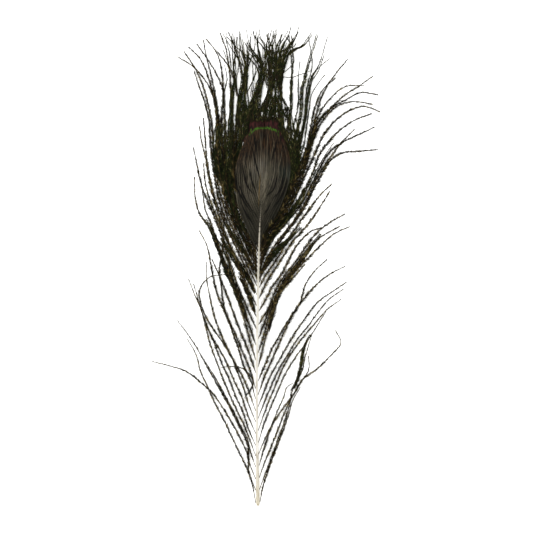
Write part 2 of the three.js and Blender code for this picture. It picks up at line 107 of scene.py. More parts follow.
# The barbs around the web and the free ends beyond it lie in bundles. A bundle has its number of
# barbs, how full their barbules are, and its line. Each point of the line is the bundle's middle
# and its half width there, in millimetres from the shaft's cut end. The lists' zero is ORIGIN_ASIDE
# to the right of the end's own middle.
ORIGIN_ASIDE = 0.04 * MM
LEFT_CROWN = [
    # From the band beside the web up into the crown.
    (8, 1.0, [(-3, 178, 0.6), (-9, 190, 1), (-14, 203, 1.2), (-15.5, 215, 1.6), (-13, 228, 3.4),
              (-11.2, 238, 3.4), (-11.3, 248, 1.8)]),
    (4, 0.7, [(-13, 200, 0.5), (-16, 218, 1), (-17.2, 235, 1.4), (-17, 248, 1.2), (-16.4, 262, 0.9),
              (-14.7, 268, 0.6), (-15.3, 273, 0.5), (-16.4, 279, 0.4), (-16.8, 296, 0.4)]),
    (3, 0.75, [(-11.5, 228, 1), (-12.5, 238, 1.3), (-12.6, 248, 1.2), (-11.5, 258, 0.9),
               (-10.3, 266, 0.7), (-9.2, 276, 0.6), (-10.4, 282.4, 0.4), (-12.4, 287.6, 0.4)]),
    # The band along the web's left side, and the strands that leave the shaft below it.
    (8, 1.0, [(-5.5, 168, 0.3), (-9.5, 175.5, 0.6), (-13.2, 182, 1), (-16.5, 191, 1.5), (-19, 204, 1.8),
              (-21, 215, 2), (-21.5, 226, 2.2), (-20.5, 236, 1.4), (-19.6, 244, 0.6)]),
    (4, 1.1, [(-14, 186, 0.5), (-20, 198, 0.8), (-24.5, 210, 1.1), (-26.5, 222, 1.3), (-26.8, 232, 1),
              (-26.5, 240, 0.5)]),
    (3, 0.7, [(-0.8, 157, 0.3), (-3.5, 160.5, 0.4), (-7.5, 167, 0.5), (-12, 174.5, 0.6),
              (-17, 182, 0.7), (-21, 189, 0.6)]),
    (3, 0.7, [(-0.8, 147, 0.3), (-4, 153, 0.4), (-7.8, 159, 0.6), (-12.5, 166, 0.7), (-17, 173, 0.7),
              (-21, 180, 0.6)]),
    (4, 1.1, [(-6.5, 116, 0.4), (-10, 126, 0.8), (-13.7, 135, 1), (-17.3, 144, 1.3), (-21, 154, 1.7),
              (-25, 164, 1.6), (-29, 173, 0.8), (-33, 181, 0.4)]),
    (5, 0.9, [(-2, 134, 0.3), (-5.5, 142, 1), (-9.5, 148.5, 1.5), (-14, 155.5, 1.5), (-18.5, 162, 0.9),
              (-23, 169, 0.6)]),
    (3, 0.9, [(-1.5, 122, 0.2), (-4.5, 130, 0.5), (-8, 138, 0.7), (-12, 145, 0.6)]),
    # The crown, with its crossing ends.
    (7, 0.75, [(-10.5, 234, 1), (-9.8, 243, 3), (-9.6, 248, 3.4), (-8.9, 257, 2.2), (-7.9, 266, 1.1),
               (-6.8, 279, 0.8), (-6.4, 288, 0.8), (-6.2, 293, 1.6), (-6, 300, 4)]),
    (2, 0.4, [(-9, 262, 0.4), (-8.1, 275.3, 0.4), (-10.1, 280, 0.4), (-12.9, 285.6, 0.4),
              (-16, 292.7, 0.4), (-18.4, 298.3, 0.4)]),
    (2, 0.4, [(-13, 258, 0.4), (-14, 270, 0.4), (-12.9, 275, 0.4), (-11.7, 287, 0.4),
              (-10.9, 296.7, 0.4)]),
    (6, 0.75, [(-3.5, 243.5, 2.6), (-3.3, 250.6, 2.4), (-2.3, 257, 2.2), (0.3, 266.3, 1.9),
               (2.5, 271.5, 1.5), (2.1, 278, 1), (-1, 283.3, 0.7), (-4, 287, 0.7), (-6.3, 290, 0.9),
               (-8.5, 296, 2)]),
    (3, 0.5, [(12, 268, 0.5), (11.6, 274.2, 0.5), (8.8, 278.8, 0.5), (6.2, 285.3, 0.5), (4.2, 290, 0.5),
              (0.3, 295.1, 0.8), (-1, 299, 1.2)]),
    (2, 0.45, [(1.5, 272, 0.4), (2.2, 280.7, 0.4), (3.6, 286.6, 0.4), (5.5, 297, 0.5),
               (5.8, 301, 0.6)]),
    (2, 0.45, [(7, 268, 0.5), (6.2, 281.4, 0.4), (5.5, 291.2, 0.4), (8, 296.4, 0.6), (9, 301, 0.8)]),
    (1, 0.4, [(9, 270, 0), (8.8, 284, 0), (10, 290, 0), (9.5, 294.5, 0), (9.3, 300, 0)]),
    # A single barb that curls away low on the left.
    (1, 0.6, [(-9, 67.7, 0), (-6, 71.5, 0), (-3.4, 76, 0), (-3.6, 80, 0), (-7.6, 85.2, 0),
              (-12, 87.6, 0), (-15.1, 88, 0), (-20, 87.8, 0), (-24.2, 87.3, 0), (-24.6, 89.5, 0)]),
    # The crown's foot, just beyond the web.
    (10, 0.9, [(-3.6, 242.5, 3.4), (-3.4, 250.6, 2.5), (-2.6, 257, 1.8)]),
    (6, 0.9, [(-10.5, 240, 2.2), (-9.6, 248, 2.8), (-9.2, 256, 1.8)]),
    # Finer crossing ends.
    (2, 0.4, [(-4.5, 258, 0.5), (-3, 268, 0.6), (-2.2, 277, 0.5), (-1, 285, 0.4)]),
    (1, 0.5, [(-6.5, 262, 0), (-3.5, 268.5, 0), (-0.5, 275, 0), (1.5, 281, 0)]),
    (2, 0.5, [(6, 264, 0.4), (4.6, 272, 0.5), (3, 279, 0.5), (1, 286, 0.5), (-1, 293, 0.8)]),
    (2, 0.6, [(9, 260, 0.4), (7, 269, 0.5), (5.6, 277, 0.5), (5.2, 285, 0.5)]),
    # More of the left band, its foot by the shaft and its top by the web.
    (6, 1.0, [(-13, 188, 0.5), (-17.6, 200, 1.2), (-18.6, 212, 1.6), (-17.6, 224, 1.8),
              (-16.8, 233, 1.4), (-16.5, 242, 1)]),
    (5, 1.0, [(-20, 198, 0.6), (-24, 210, 1.4), (-25.5, 222, 1.6), (-24.5, 232, 1.6), (-23, 242, 1)]),
    (3, 0.6, [(-0.5, 141, 0.1), (-1.1, 149, 0.3), (-1.7, 156, 0.5), (-2.6, 164, 0.7)]),
    (5, 0.9, [(-9, 230, 0.6), (-8.2, 237, 1.2), (-7.2, 245.5, 1.2), (-7, 253, 1)]),
    (4, 1.4, [(-14.4, 208, 0.4), (-13.4, 219, 0.8), (-11.6, 228, 1.1), (-9.6, 238, 1)]),
    # Fine ends at the crown's left and middle.
    (2, 0.45, [(-16, 276, 0.3), (-16.5, 286, 0.3), (-17.6, 294.8, 0.4), (-16.7, 299, 0.6)]),
    (1, 0.45, [(-21.8, 260, 0), (-19.6, 269.6, 0), (-21, 276.8, 0), (-22.5, 280.5, 0)]),
    (1, 0.45, [(-12, 287.5, 0), (-11, 294.8, 0), (-11, 298, 0)]),
    (4, 0.7, [(0, 245, 1), (0.5, 262, 1.2), (3, 270, 1), (4, 280, 0.8), (5, 290, 1), (5.4, 298, 1.4)]),
    (2, 0.5, [(1, 262, 0.4), (0.8, 275, 0.5), (-0.5, 285, 0.7), (-1.8, 293, 1), (-1.6, 301, 1.4)]),
    (2, 0.5, [(8.5, 268, 0.4), (7.7, 280, 0.4), (6.1, 287, 0.4), (2, 291.5, 0.5), (-1, 295, 0.6)]),
]
RIGHT_CROWN = [
    # The crown, with its crossing ends.
    (13, 0.75, [(10, 243.5, 7.6), (10.2, 252, 6.6), (10.8, 262, 3.9), (11.4, 270, 3.1), (13, 276, 2.5),
                (14, 280, 2.3), (15, 288.6, 1.6), (17.8, 295, 1), (20.6, 300, 0.8)]),
    (4, 0.45, [(6, 250, 1), (7, 262, 1), (7.6, 272, 0.8), (7, 280, 0.9), (6.5, 287, 0.8),
               (5.8, 293, 0.9), (6, 298.5, 1.2)]),
    (3, 0.4, [(9.5, 262, 1), (10, 272, 0.9), (10, 282, 0.8), (10.2, 290, 0.7), (9.2, 297.8, 0.8)]),
    (4, 0.8, [(12, 270, 1), (13, 280, 1), (16, 290, 1), (19.5, 296, 0.8), (20.7, 302, 0.6)]),
    (4, 0.7, [(14, 262, 1), (15, 274, 1), (16.5, 281, 0.9), (18.5, 286.5, 0.8), (22, 289, 0.7),
              (25.8, 290.4, 0.7), (28.5, 294.5, 0.5), (31.5, 299.2, 0.4)]),
    # The band along the web's right side, and the strands that leave the shaft below it.
    (5, 1.1, [(2.5, 163, 0.3), (8, 170, 0.8), (14, 177.5, 1.1), (20, 184.5, 1.3), (26, 192.5, 1.3),
              (30, 201, 0.9)]),
    (5, 1.1, [(15, 196, 0.6), (20.5, 208, 1.2), (23.5, 220, 1.4), (24.5, 230, 1.4), (25, 238, 0.8)]),
    (5, 1.0, [(1.5, 146, 0.3), (6, 153.5, 1.2), (11, 160, 1.7), (16, 165.5, 1.5), (21, 170, 1),
              (27, 176, 0.5)]),
    (4, 1.0, [(7, 110, 0.3), (9, 121, 0.7), (12, 131, 0.9), (15.5, 139, 1.1), (22, 148.5, 1.2),
              (29, 157.5, 1.2), (35, 166, 0.8), (39.5, 172, 0.4)]),
    # A small clump, and a long single barb, low on the right.
    (3, 0.9, [(20, 72, 0.3), (23.5, 76, 0.3), (26, 83, 0.4), (27.5, 90, 0.5), (28.5, 97, 0.6),
              (30.5, 103, 0.6), (33, 108, 0.4)]),
    (1, 0.7, [(1.2, 152.5, 0), (5.2, 161, 0), (10.5, 172, 0), (17.2, 180, 0), (24.4, 190, 0),
              (31.7, 201.8, 0), (35.7, 210, 0), (40.7, 219, 0), (45.6, 226.6, 0), (51, 232.8, 0),
              (53.2, 236.2, 0)]),
    # From the band beside the web up and out into the crown.
    (9, 1.0, [(7, 174, 0.6), (14.5, 188, 1), (19.5, 200, 1.2), (22, 212, 1.5), (21, 224, 2.6),
              (18.6, 234, 3.2), (17.3, 244, 2.8), (18, 252, 1)]),
    (2, 0.9, [(15, 222, 0.4), (18.5, 236, 0.5), (20.6, 247.7, 0.5), (20.9, 255.6, 0.5),
              (21.1, 265, 0.4), (21.6, 277, 0.3), (21.5, 283, 0.3), (20.5, 297, 0.3)]),
    (1, 0.8, [(16, 218, 0.4), (21.5, 236, 0.5), (24.3, 247.7, 0.45), (25.4, 255.6, 0.4),
              (25.5, 271.4, 0.4), (25.6, 284.8, 0.3), (22.6, 296.5, 0.3)]),
    (2, 0.9, [(16, 212, 0.5), (22, 228, 0.5), (26.5, 245, 0.5), (27.4, 255, 0.5), (27.8, 263.5, 0.5),
              (29.4, 269, 0.5), (31.5, 281, 0.4), (33.6, 290, 0.3), (35.3, 297.7, 0.3)]),
    (2, 0.8, [(15.5, 208, 0.5), (23, 224, 0.5), (28, 238, 0.5), (30.2, 247.7, 0.5), (30.6, 257, 0.5),
              (33, 270, 0.6), (36.8, 279.5, 0.4), (38.8, 296.2, 0.3)]),
    (1, 0.8, [(13.6, 202, 0.5), (22.8, 220, 0.6), (27.5, 234, 0.7), (30, 247, 0.5), (31.3, 258, 0.4),
              (34, 268, 0.4), (38.5, 275.5, 0.3), (44.7, 293.2, 0.3)]),
    (1, 0.7, [(13.2, 200, 0.5), (23.2, 219, 0.6), (27.8, 232, 0.6), (30.2, 245.5, 0.5),
              (31.6, 256, 0.4), (35.5, 274, 0.4), (40.5, 282, 0.3), (49.8, 290.2, 0.3)]),
    (1, 0.7, [(12.8, 198, 0.5), (24.2, 215, 0.6), (28.8, 228, 0.6), (31, 241, 0.5), (32.4, 251, 0.4),
              (34.6, 261.5, 0.4), (43.5, 274, 0.3), (54.7, 287.3, 0.3)]),
    # Fine ends at the crown's right.
    (1, 0.3, [(15, 271.2, 0), (21.3, 270.9, 0), (26.5, 272.5, 0), (32.4, 274.5, 0), (36, 276.1, 0)]),
    (1, 0.3, [(15.5, 273, 0), (20, 277.4, 0), (22, 280.7, 0), (21.3, 284.7, 0), (21, 288, 0)]),
    (2, 0.4, [(16, 283.5, 0.3), (21.3, 288, 0.3), (26.5, 290.9, 0.2), (31, 297.8, 0.2)]),
    # The crown's foot, and more of the right band.
    (19, 0.9, [(8.6, 242.5, 9), (9.6, 252, 7), (10.6, 260, 3.9)]),
    (9, 1.0, [(17.5, 194, 0.5), (22.5, 206, 1.4), (24.5, 218, 2), (24, 230, 2.4), (22.4, 240, 2.4),
              (21.5, 247, 1.6)]),
    (3, 0.6, [(0.8, 141, 0.1), (1.5, 149, 0.3), (2.3, 156, 0.5), (3.4, 164, 0.7)]),
    (5, 0.9, [(16.4, 230, 0.6), (15.4, 238, 1.2), (14.4, 245, 1.3), (13.6, 252, 1)]),
    (5, 1.0, [(20, 208, 0.4), (20.4, 219, 0.8), (18.6, 229, 1), (16.8, 239, 1)]),
    # One more fine end.
    (1, 0.4, [(26.3, 291, 0), (24, 295, 0), (22.5, 297.5, 0)]),
]

# How a bundle's barbs differ. Each has STRAND_POINTS and wanders, every WANDER_STEP of them, by
# WANDER of the bundle's half width if the bundle is WANDER_LENGTH long. An inner one ends at a
# share of the bundle within CUT_BACK. Above STRAY_FROM the ends stray aside, by STRAY a millimetre.
STRAND_POINTS = 70
WANDER = 0.9
WANDER_STEP = 11
WANDER_LENGTH = 45
CUT_BACK = (0.8, 1.0)
STRAY_FROM = 272.0
STRAY = 0.16

# The crown first climbs over the web's end and then on to its tips: how far, from where to where.
CROWN_CLIMBS = ((1.1, 228, 243), (3.0, 238, 302))
# Its barbs lie in three layers: the lowest one's height, and the step from each to the next.
CROWN_HEIGHT, CROWN_LAYER = 0.3, 0.1

# The outermost barb of each half of the web, from the shaft up, in the same millimetres.
LEFT_WEB = [
    (0.2, 161), (-2.4, 166), (-6.5, 175), (-11, 185.5), (-13, 193), (-14, 202), (-14.3, 210),
    (-13.4, 216), (-11, 223.5), (-8.4, 230), (-7.2, 236), (-6.8, 251),
]
RIGHT_WEB = [
    (1.2, 161), (4.6, 169.5), (9, 179.5), (13.8, 189), (17, 197), (19.2, 204.5), (20.2, 212),
    (20, 219), (18.6, 225), (16.6, 231), (14.8, 236), (14, 251),
]
# The heights where the web's barbs end, and where the outermost and the innermost leave the shaft.
WEB_TOP = 251
WEB_FOOT = 161
LAST_FOOT = 207
# Beyond its end the shaft's line runs on to here, and parts the web's two halves.
SHAFT_LINE_END = (4.2, WEB_TOP)
# The web's barbs end on a rounded oval of this middle and these half sizes.
WEB_END_CENTRE = (3.5, 215.0)
WEB_END_RADII = (19.5, 31.5)

# Where the hooks have let go, dark with painted shade and the dark barbs under it, and where a barb shows
# its paler side.
LEFT_SPLIT_SHADOWS = [
    [(-10.5, 217.5), (-7.6, 204.5), (-4.5, 199), (-1.1, 195.9)],
    [(-5.4, 213), (-4, 206), (-2.5, 201.6), (-0.6, 197)],
    [(-4.5, 228), (-3.3, 224.8), (-1, 215), (1.8, 205)],
    [(-3.3, 237), (-1.8, 229), (-0.8, 222)],
    [(-14.5, 211), (-13.4, 201.6), (-8.3, 191.5), (-2.5, 183.6)],
    [(-12.7, 204.5), (-8.3, 194.4), (-4.5, 188), (-1.1, 183.6)],
    [(-11, 192), (-7, 184), (-3, 177.5)],
]
RIGHT_SPLIT_SHADOWS = [
    [(12.6, 211), (10.5, 201.6), (8, 198), (4.7, 195.9)],
    [(16.2, 209.6), (14.8, 201.6), (12, 197), (9, 194.4)],
    [(18.5, 208), (16.6, 200), (13, 193), (8, 187)],
    [(12.5, 234), (10.8, 226), (9, 219)],
    [(8, 192), (6, 187.5), (3.4, 184)],
]
LEFT_PALE = [
    [(-4.2, 239), (-2.2, 232), (-1.1, 223.3)],
    [(-4.2, 219.5), (-2, 213), (1.1, 206)],
    [(1.2, 238), (1.6, 230), (2.2, 222)],
    [(-9.6, 222), (-8.4, 216), (-6.4, 209)],
]
RIGHT_PALE = [
    [(3.8, 219), (3.6, 213), (3.2, 207.4)],
    [(10.8, 232), (9.4, 226), (8, 218)],
    [(15.4, 226), (14.4, 219), (12.6, 212)],
    [(6.4, 237), (6, 230), (5.4, 222)],
]
SHAFT_GLINT = [[(1.6, 211), (1.1, 204), (0.7, 197), (0.5, 189)]]

# A web barb takes its colour up to this far aside and along from where it lies.
TONE_SHIFT = np.array([1.6, 0.3])

# The map covers this box: left, right, bottom and top. In corners of it that the web leaves free,
# spots of one tone each serve the lines over the web: left, right, top and colour.
WEB_BOX = (-20.0, 25.0, 160.0, 252.0)
TONE_SPOTS = [
    # Near black: the painted shade of the splits and dark lines, with the dark barbs under it.
    (-20.0, -16.0, 168.0, "#0b0906"),
    (21.0, 25.0, 168.0, "#5f5747"),
    (16.0, 20.0, 163.0, "#6f5a33"),
]
DARK_SPOT = (-18.5, 164.0)
PALE_SPOT = (23.0, 164.0)
GOLD_SPOT = (18.0, 161.2)

# The eye's coloured oval. Its edge is squarer than an ellipse, whose squareness is 2.
EYE_CENTRE = (3.8, 215.0)
EYE_RADII = (13.6, 24.6)
EYE_SQUARENESS = 2.8

# A web barb's strip: points along it, its height over the table and how that varies.
WEB_POINTS = 64
STRIP_HEIGHT, STRIP_STEP, STRIP_BULGE, STRIP_DRIFT = 0.55, 0.25, 0.5, 0.12
STRIP_FLATNESS = 0.26
# Its barbules: where they start over the strip's middle, how they lean, and their width.
WEB_ROOT = 0.11 * MM
WEB_ANGLE, WEB_ANGLE_SPREAD, WEB_RISE = 30, 7, 0.05
WEB_WIDTH = 0.1 * MM
# The web's lower part is raised by LOW_LIFT, away from the shaft and below its upper part.
LOW_LIFT = 0.9
LIFT_ASIDE = (0.5, 4)
LIFT_ENDS = (184, 212)
# The lines between the strips, every few of them pale, and the marks that lie over all of it.
LINE_POINTS, LINE_HEIGHT = 50, 1.62
PALE_EVERY, PALE_LINE_WIDTH = 5, 0.18
# A dark line is painted shade in the slit between two strips, with the dark barbs under it.
DARK_LINE_WIDTHS = (0.06, 0.32)
# Where the lines start and end, as shares of their barb. A pale one starts later, and is short.
LINE_STARTS, PALE_LATER = (0, 0.25), 0.2
PALE_LENGTHS, DARK_STOPS = (0.3, 0.5), (0.75, 1.0)
MARK_POINTS, MARK_HEIGHT = 40, 1.7
SPLIT_SHADOW_WIDTH, PALE_WIDTH, GLINT_WIDTH = 0.85, 0.3, 0.4

# The table's side, the round lamp's width and its place over the table, how bright the sky is, and
# the point of the table that the camera looks down on.
TABLE_SIDE = 6
LAMP_WIDTH = 0.9
LAMP_PLACE = (-0.45, 0.4, 0.95)
SKY_STRENGTH = 0.75
VIEW_MIDDLE = (0.35 * MM, 0.2 * MM)


# ---------------------------------------------------------------- lines


def nearby_graph(mesh):
    """The mesh as merged points with the set of points that each one is joined to."""
    merged = bmesh.new()
    merged.from_mesh(mesh)
    bmesh.ops.remove_doubles(merged, verts=merged.verts, dist=1e-7)
    merged.verts.index_update()
    places = np.array([v.co[:] for v in merged.verts])
    joined = [{e.other_vert(v).index for e in v.link_edges} for v in merged.verts]
    merged.free()
    return places, joined


def rings_of(node, sides):
    """The rings of points of a CAD tube, from its low end on the shaft to its tip."""
    places, joined = nearby_graph(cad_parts[node].data)
    caps = [i for i, near in enumerate(joined) if len(near) == sides]
    start = min(caps, key=lambda i: places[i][1])
    seen = {start}
    ring = {start}
    rings = []
    while ring:
        rings.append(places[list(ring)])
        ring = {j for i in ring for j in joined[i]} - seen
        seen |= ring
    return rings[1:-1]


def middle_line(node, sides):
    """The middle of each ring of a CAD tube."""
    return np.array([ring.mean(axis=0) for ring in rings_of(node, sides)])


def spline(points, count):
    """A smooth line of count points through the given ones, evenly spaced along it."""
    points = np.asarray(points, float)
    before, after = 2 * points[0] - points[1], 2 * points[-1] - points[-2]
    p = np.concatenate([[before], points, [after]])
    t = np.linspace(0, 1, 12, endpoint=False)[:, None]
    runs = []
    for a, b, c, d in zip(p[:-3], p[1:-2], p[2:-1], p[3:]):
        bent = 2 * b + (c - a) * t + (2 * a - 5 * b + 4 * c - d) * t**2
        runs.append(0.5 * (bent + (3 * b - a - 3 * c + d) * t**3))
    fine = np.concatenate(runs + [points[-1:]])
    walked = np.concatenate([[0], np.cumsum(np.linalg.norm(np.diff(fine, axis=0), axis=1))])
    even = np.linspace(0, walked[-1], count)
    return np.stack([np.interp(even, walked, fine[:, k]) for k in range(fine.shape[1])], axis=1)


def length_of(line):
    return float(np.linalg.norm(np.diff(line, axis=0), axis=1).sum())


def headings(line):
    """The line's unit direction at each of its points, and the level direction to its left."""
    ahead = np.gradient(line, axis=0)
    ahead /= np.linalg.norm(ahead, axis=1, keepdims=True)
    left = np.stack([-ahead[:, 1], ahead[:, 0], np.zeros(len(ahead))], axis=1)
    left /= np.linalg.norm(left, axis=1, keepdims=True)
    return ahead, left


def smooth(value, low, high):
    t = np.clip((np.asarray(value, float) - low) / (high - low), 0, 1)
    return t * t * (3 - 2 * t)


def waver(rng, count, step):
    """Slow random values from 0 to 1, one for each of count places, new every step places."""
    knots = rng.random(count // step + 3)
    return np.interp(np.arange(count) / step, np.arange(len(knots)), knots)


# ---------------------------------------------------------------- meshes


def template(build):
    """The vertices and faces of a small closed shape that bmesh operators make."""
    shape = bmesh.new()
    build(shape)
    bmesh.ops.remove_doubles(shape, verts=shape.verts, dist=1e-6)
    bmesh.ops.triangulate(shape, faces=shape.faces)
    bmesh.ops.recalc_face_normals(shape, faces=shape.faces)
    shape.verts.index_update()
    places = np.array([v.co[:] for v in shape.verts])
    faces = np.array([[v.index for v in f.verts] for f in shape.faces])
    shape.free()
    return places, faces


def spike_template():
    """A barbule: a three-sided spike of unit length along Z."""
    return template(
        lambda shape: bmesh.ops.create_cone(
            shape, cap_ends=True, segments=3, radius1=0.5, radius2=0, depth=1
        )
    )


def strand_template(sides, steps):
    """A straight closed strand along Z from 0 to 1, of unit width and height."""

    def build(shape):
        bmesh.ops.create_circle(shape, cap_ends=True, segments=sides, radius=0.5)
        edge = list(shape.edges)
        for _ in range(steps):
            grown = bmesh.ops.extrude_edge_only(shape, edges=edge)["geom"]
            rise = [g for g in grown if isinstance(g, bmesh.types.BMVert)]
            edge = [g for g in grown if isinstance(g, bmesh.types.BMEdge)]
            bmesh.ops.translate(shape, verts=rise, vec=(0, 0, 1 / steps))
        bmesh.ops.contextual_create(shape, geom=edge)

    return template(build)


class Pile:
    """Collects copies of small shapes, with the map that colours them, for one mesh."""

    def __init__(self):
        self.places = []
        self.faces = []
        self.maps = []
        self.count = 0

    def add(self, places, faces, corner_map):
        self.places.append(places)
        self.faces.append(faces + self.count)
        self.maps.append(corner_map)
        self.count += len(places)

    def mesh(self, name, material):
        places = np.concatenate(self.places)
        places[:, 2] = np.maximum(places[:, 2], LOWEST)
        faces = np.concatenate(self.faces)
        made = bpy.data.meshes.new(name)
        made.vertices.add(len(places))
        made.vertices.foreach_set("co", places.astype(np.float32).ravel())
        made.loops.add(faces.size)
        made.loops.foreach_set("vertex_index", faces.astype(np.int32).ravel())
        made.polygons.add(len(faces))
        made.polygons.foreach_set("loop_start", np.arange(0, faces.size, 3, dtype=np.int32))
        made.update(calc_edges=True)
        uv = made.uv_layers.new(name=UV_NAME)
        uv.data.foreach_set("uv", np.concatenate(self.maps).astype(np.float32).ravel())
        made.validate()
        made.materials.append(material)
        made.shade_smooth()
        return made


SPIKE = spike_template()
SPIKE_MAP = np.array([(0, 0), (1, 0), (0, 1), (1, 1)], float)


def add_spikes(pile, roots, tips, widths, spots, spot_size):
    """Adds one barbule from each root to its tip, coloured by its spot on the map."""
    places, faces = SPIKE
    count = len(roots)
    directions = tips - roots
    lengths = np.maximum(np.linalg.norm(directions, axis=1), 1e-6)
    directions = directions / lengths[:, None]
    across = np.cross(directions, (0, 0, 1))
    across /= np.linalg.norm(across, axis=1, keepdims=True)
    over = np.cross(across, directions)
    x, y, z = places[:, 0], places[:, 1], places[:, 2] + 0.5
    moved = (
        roots[:, None, :]
        + across[:, None, :] * (x[None, :, None] * widths[:, None, None])
        + over[:, None, :] * (y[None, :, None] * widths[:, None, None])
        + directions[:, None, :] * (z[None, :, None] * lengths[:, None, None])
    )
    every = faces[None, :, :] + len(places) * np.arange(count)[:, None, None]
    corners = SPIKE_MAP[faces.ravel()]
    corner_map = spots[:, None, :] + spot_size * corners[None, :, :]
    pile.add(moved.reshape(-1, 3), every.reshape(-1, 3), corner_map.reshape(-1, 2))


def add_strand(pile, line, widths, heights, sides, colour_map):
    """Adds a closed strand along the line. Its colour_map gives each of its points a place on the map."""
    places, faces = strand_template(sides, len(line) - 1)
    ahead, left = headings(line)
    up = np.cross(ahead, left)
    step = np.rint(places[:, 2] * (len(line) - 1)).astype(int)
    moved = (
        line[step]
        + left[step] * (places[:, 0] * widths[step])[:, None]
        + up[step] * (places[:, 1] * heights[step])[:, None]
    )
    corners = faces.ravel()
    above = np.repeat(places[faces][:, :, 1].mean(axis=1) >= 0, 3)
    pile.add(moved, faces, colour_map(places[corners], moved[corners], above))


def along_map(pale_root):
    """Maps a quill by its place along the barb, in the band for dark roots or the one for pale."""

    def mapped(flat, moved, above):
        u = 0.02 + 0.95 * flat[:, 2]
        v = 0.01 + 0.03 * (0.5 + flat[:, 0]) + (PALE_QUILL if pale_root else 0)
        return np.stack([u, v + 0.004 * flat[:, 1]], axis=1)

    return mapped


def tufted(tips, rng, share, pitch, tuft):
    """Draws the tips of neighbouring barbules part of the way together, into small tufts."""
    group = np.cumsum(rng.random(len(tips)) < pitch / tuft)
    sums = np.zeros((group[-1] + 1, 3))
    np.add.at(sums, group, tips)
    means = sums / np.maximum(np.bincount(group), 1)[:, None]
    return tips + share * (means[group] - tips)


def herl(pile, line, rng, settings, pitch, tint, full, pale_root, base, thins=0.6):
    """Adds one loose barb: its quill, and two rows of barbules that shorten towards both ends.

    The barbules reach their full length at base and shorten from thins on, as shares of the barb.
    """
    length = length_of(line)
    quill = spline(line, max(12, int(length / QUILL_STEP)))
    share = np.linspace(0, 1, len(quill))
    thick = settings.quill_width * (1 - QUILL_NARROWS * smooth(share, 0.1, 1))
    add_strand(pile, quill, thick, QUILL_FLATNESS * thick, QUILL_SIDES, along_map(pale_root))

    count = int(length / pitch)
    fine = spline(line, count)
    ahead, left = headings(fine)
    share = np.linspace(0, 1, count)
    reach = smooth(share, 0.0, base)
    reach = reach * (1 - TIP_SHORTENS * smooth(share, thins, thins + SHORTENS_OVER))
    for side in (-1, 1):
        ragged = RAGGED_LEAST + waver(rng, count, CLUMP) + RAGGED_OWN * rng.random(count)
        lengths = full * (SHORTEST + (1 - SHORTEST) * reach) * ragged
        angle = np.radians(rng.normal(BARBULE_ANGLE, ANGLE_SPREAD, count) - ANGLE_CLOSES * share)
        rise = RISE_SHARE * np.tan(np.radians(rng.normal(BARBULE_RISE, RISE_SPREAD, count)))
        directions = ahead * np.cos(angle)[:, None] + left * (side * np.sin(angle))[:, None]
        directions[:, 2] += rise
        tips = fine + directions * lengths[:, None]
        tips = tufted(tips, rng, TUFT_PULL, pitch, settings.tuft)
        # Barbules that stand further apart are wider, so that they cover nearly as much.
        coarse = 0.4 + 0.6 * pitch / settings.pitch
        widths = settings.width * coarse * (0.8 + 0.5 * rng.random(count))
        tints = tint + TINT_CLUMPS * (waver(rng, count, CLUMP) - 0.5)
        tints = tints + TINT_OWN * (rng.random(count) - 0.5) + TIP_PALER * smooth(share, 0.75, 1)
        spots = np.stack([0.01 + 0.97 * share, np.clip(tints, *TINT_RANGE)], axis=1)
        add_spikes(pile, fine, tips, widths, spots, TINT_SPOT)


# ---------------------------------------------------------------- materials


def linear(hex_colour):
    """An sRGB colour such as "#a0b0c0" as linear red, green, blue and alpha."""
    values = [int(hex_colour[i : i + 2], 16) / 255 for i in (1, 3, 5)]
    return [v / 12.92 if v <= 0.04045 else ((v + 0.055) / 1.055) ** 2.4 for v in values] + [1]


def add_node(tree, kind, inputs, stops=(), **settings):
    """Adds a node and gives its first output in use.

    An input is a value, a hex colour or another node's output. The stops are a colour ramp's.
    """
    node = tree.nodes.new("ShaderNode" + kind)
    for name, value in settings.items():
        setattr(node, name, value)
    for name, value in inputs.items():
        if isinstance(value, bpy.types.NodeSocket):
            tree.links.new(value, node.inputs[name])
        else:
            node.inputs[name].default_value = linear(value) if isinstance(value, str) else value
    if stops:
        elements = node.color_ramp.elements
        while len(elements) < len(stops):
            elements.new(0.5)
        for element, (place, colour) in zip(elements, stops):
            element.position = place
            element.color = linear(colour)
    return next(output for output in node.outputs if output.enabled)


def new_material(name, roughness, specular):
    """A material with its tree, its Principled node and the two parts of the piece's own map."""
    material = bpy.data.materials.new(name)
    material.use_nodes = True
    tree = material.node_tree
    shader = tree.nodes["Principled BSDF"]
    shader.inputs["Roughness"].default_value = roughness
    shader.inputs["Specular IOR Level"].default_value = specular
    place = add_node(tree, "UVMap", {}, uv_map=UV_NAME)
    parts = add_node(tree, "SeparateXYZ", {0: place}).node.outputs
    return material, tree, shader, parts["X"], parts["Y"]


def streaks(tree, x, y, stretch_x, stretch_y):
    """Noise over the map, stretched differently along its two directions.

    The web's map is in millimetres, so there a stretch of 2.2 gives streaks 0.45 mm wide. A barb's
    is in shares of its length, so on one of 60 mm a stretch of 12 gives streaks 5 mm long.
    """
    across = add_node(tree, "Math", {0: x, 1: stretch_x}, operation="MULTIPLY")
    along = add_node(tree, "Math", {0: y, 1: stretch_y}, operation="MULTIPLY")
    place = add_node(tree, "CombineXYZ", {"X": across, "Y": along})
    return add_node(tree, "TexNoise", {"Vector": place, "Scale": 1.0, "Detail": 3.0})


def zone(tree, value, *fades):
    """A mask that goes from 0 to 1 over the first fade and, if there is a second, back over it.

    A fade is the values where it starts and ends. One that runs downwards gives a mask that is 1
    below it and 0 above it.
    """
    edges = [
        add_node(tree, "MapRange", {0: value, 1: start, 2: end}, interpolation_type="SMOOTHSTEP")
        for start, end in fades
    ]
    if len(edges) == 1:
        return edges[0]
    return add_node(tree, "Math", {0: edges[0], 1: edges[1]}, operation="SUBTRACT")


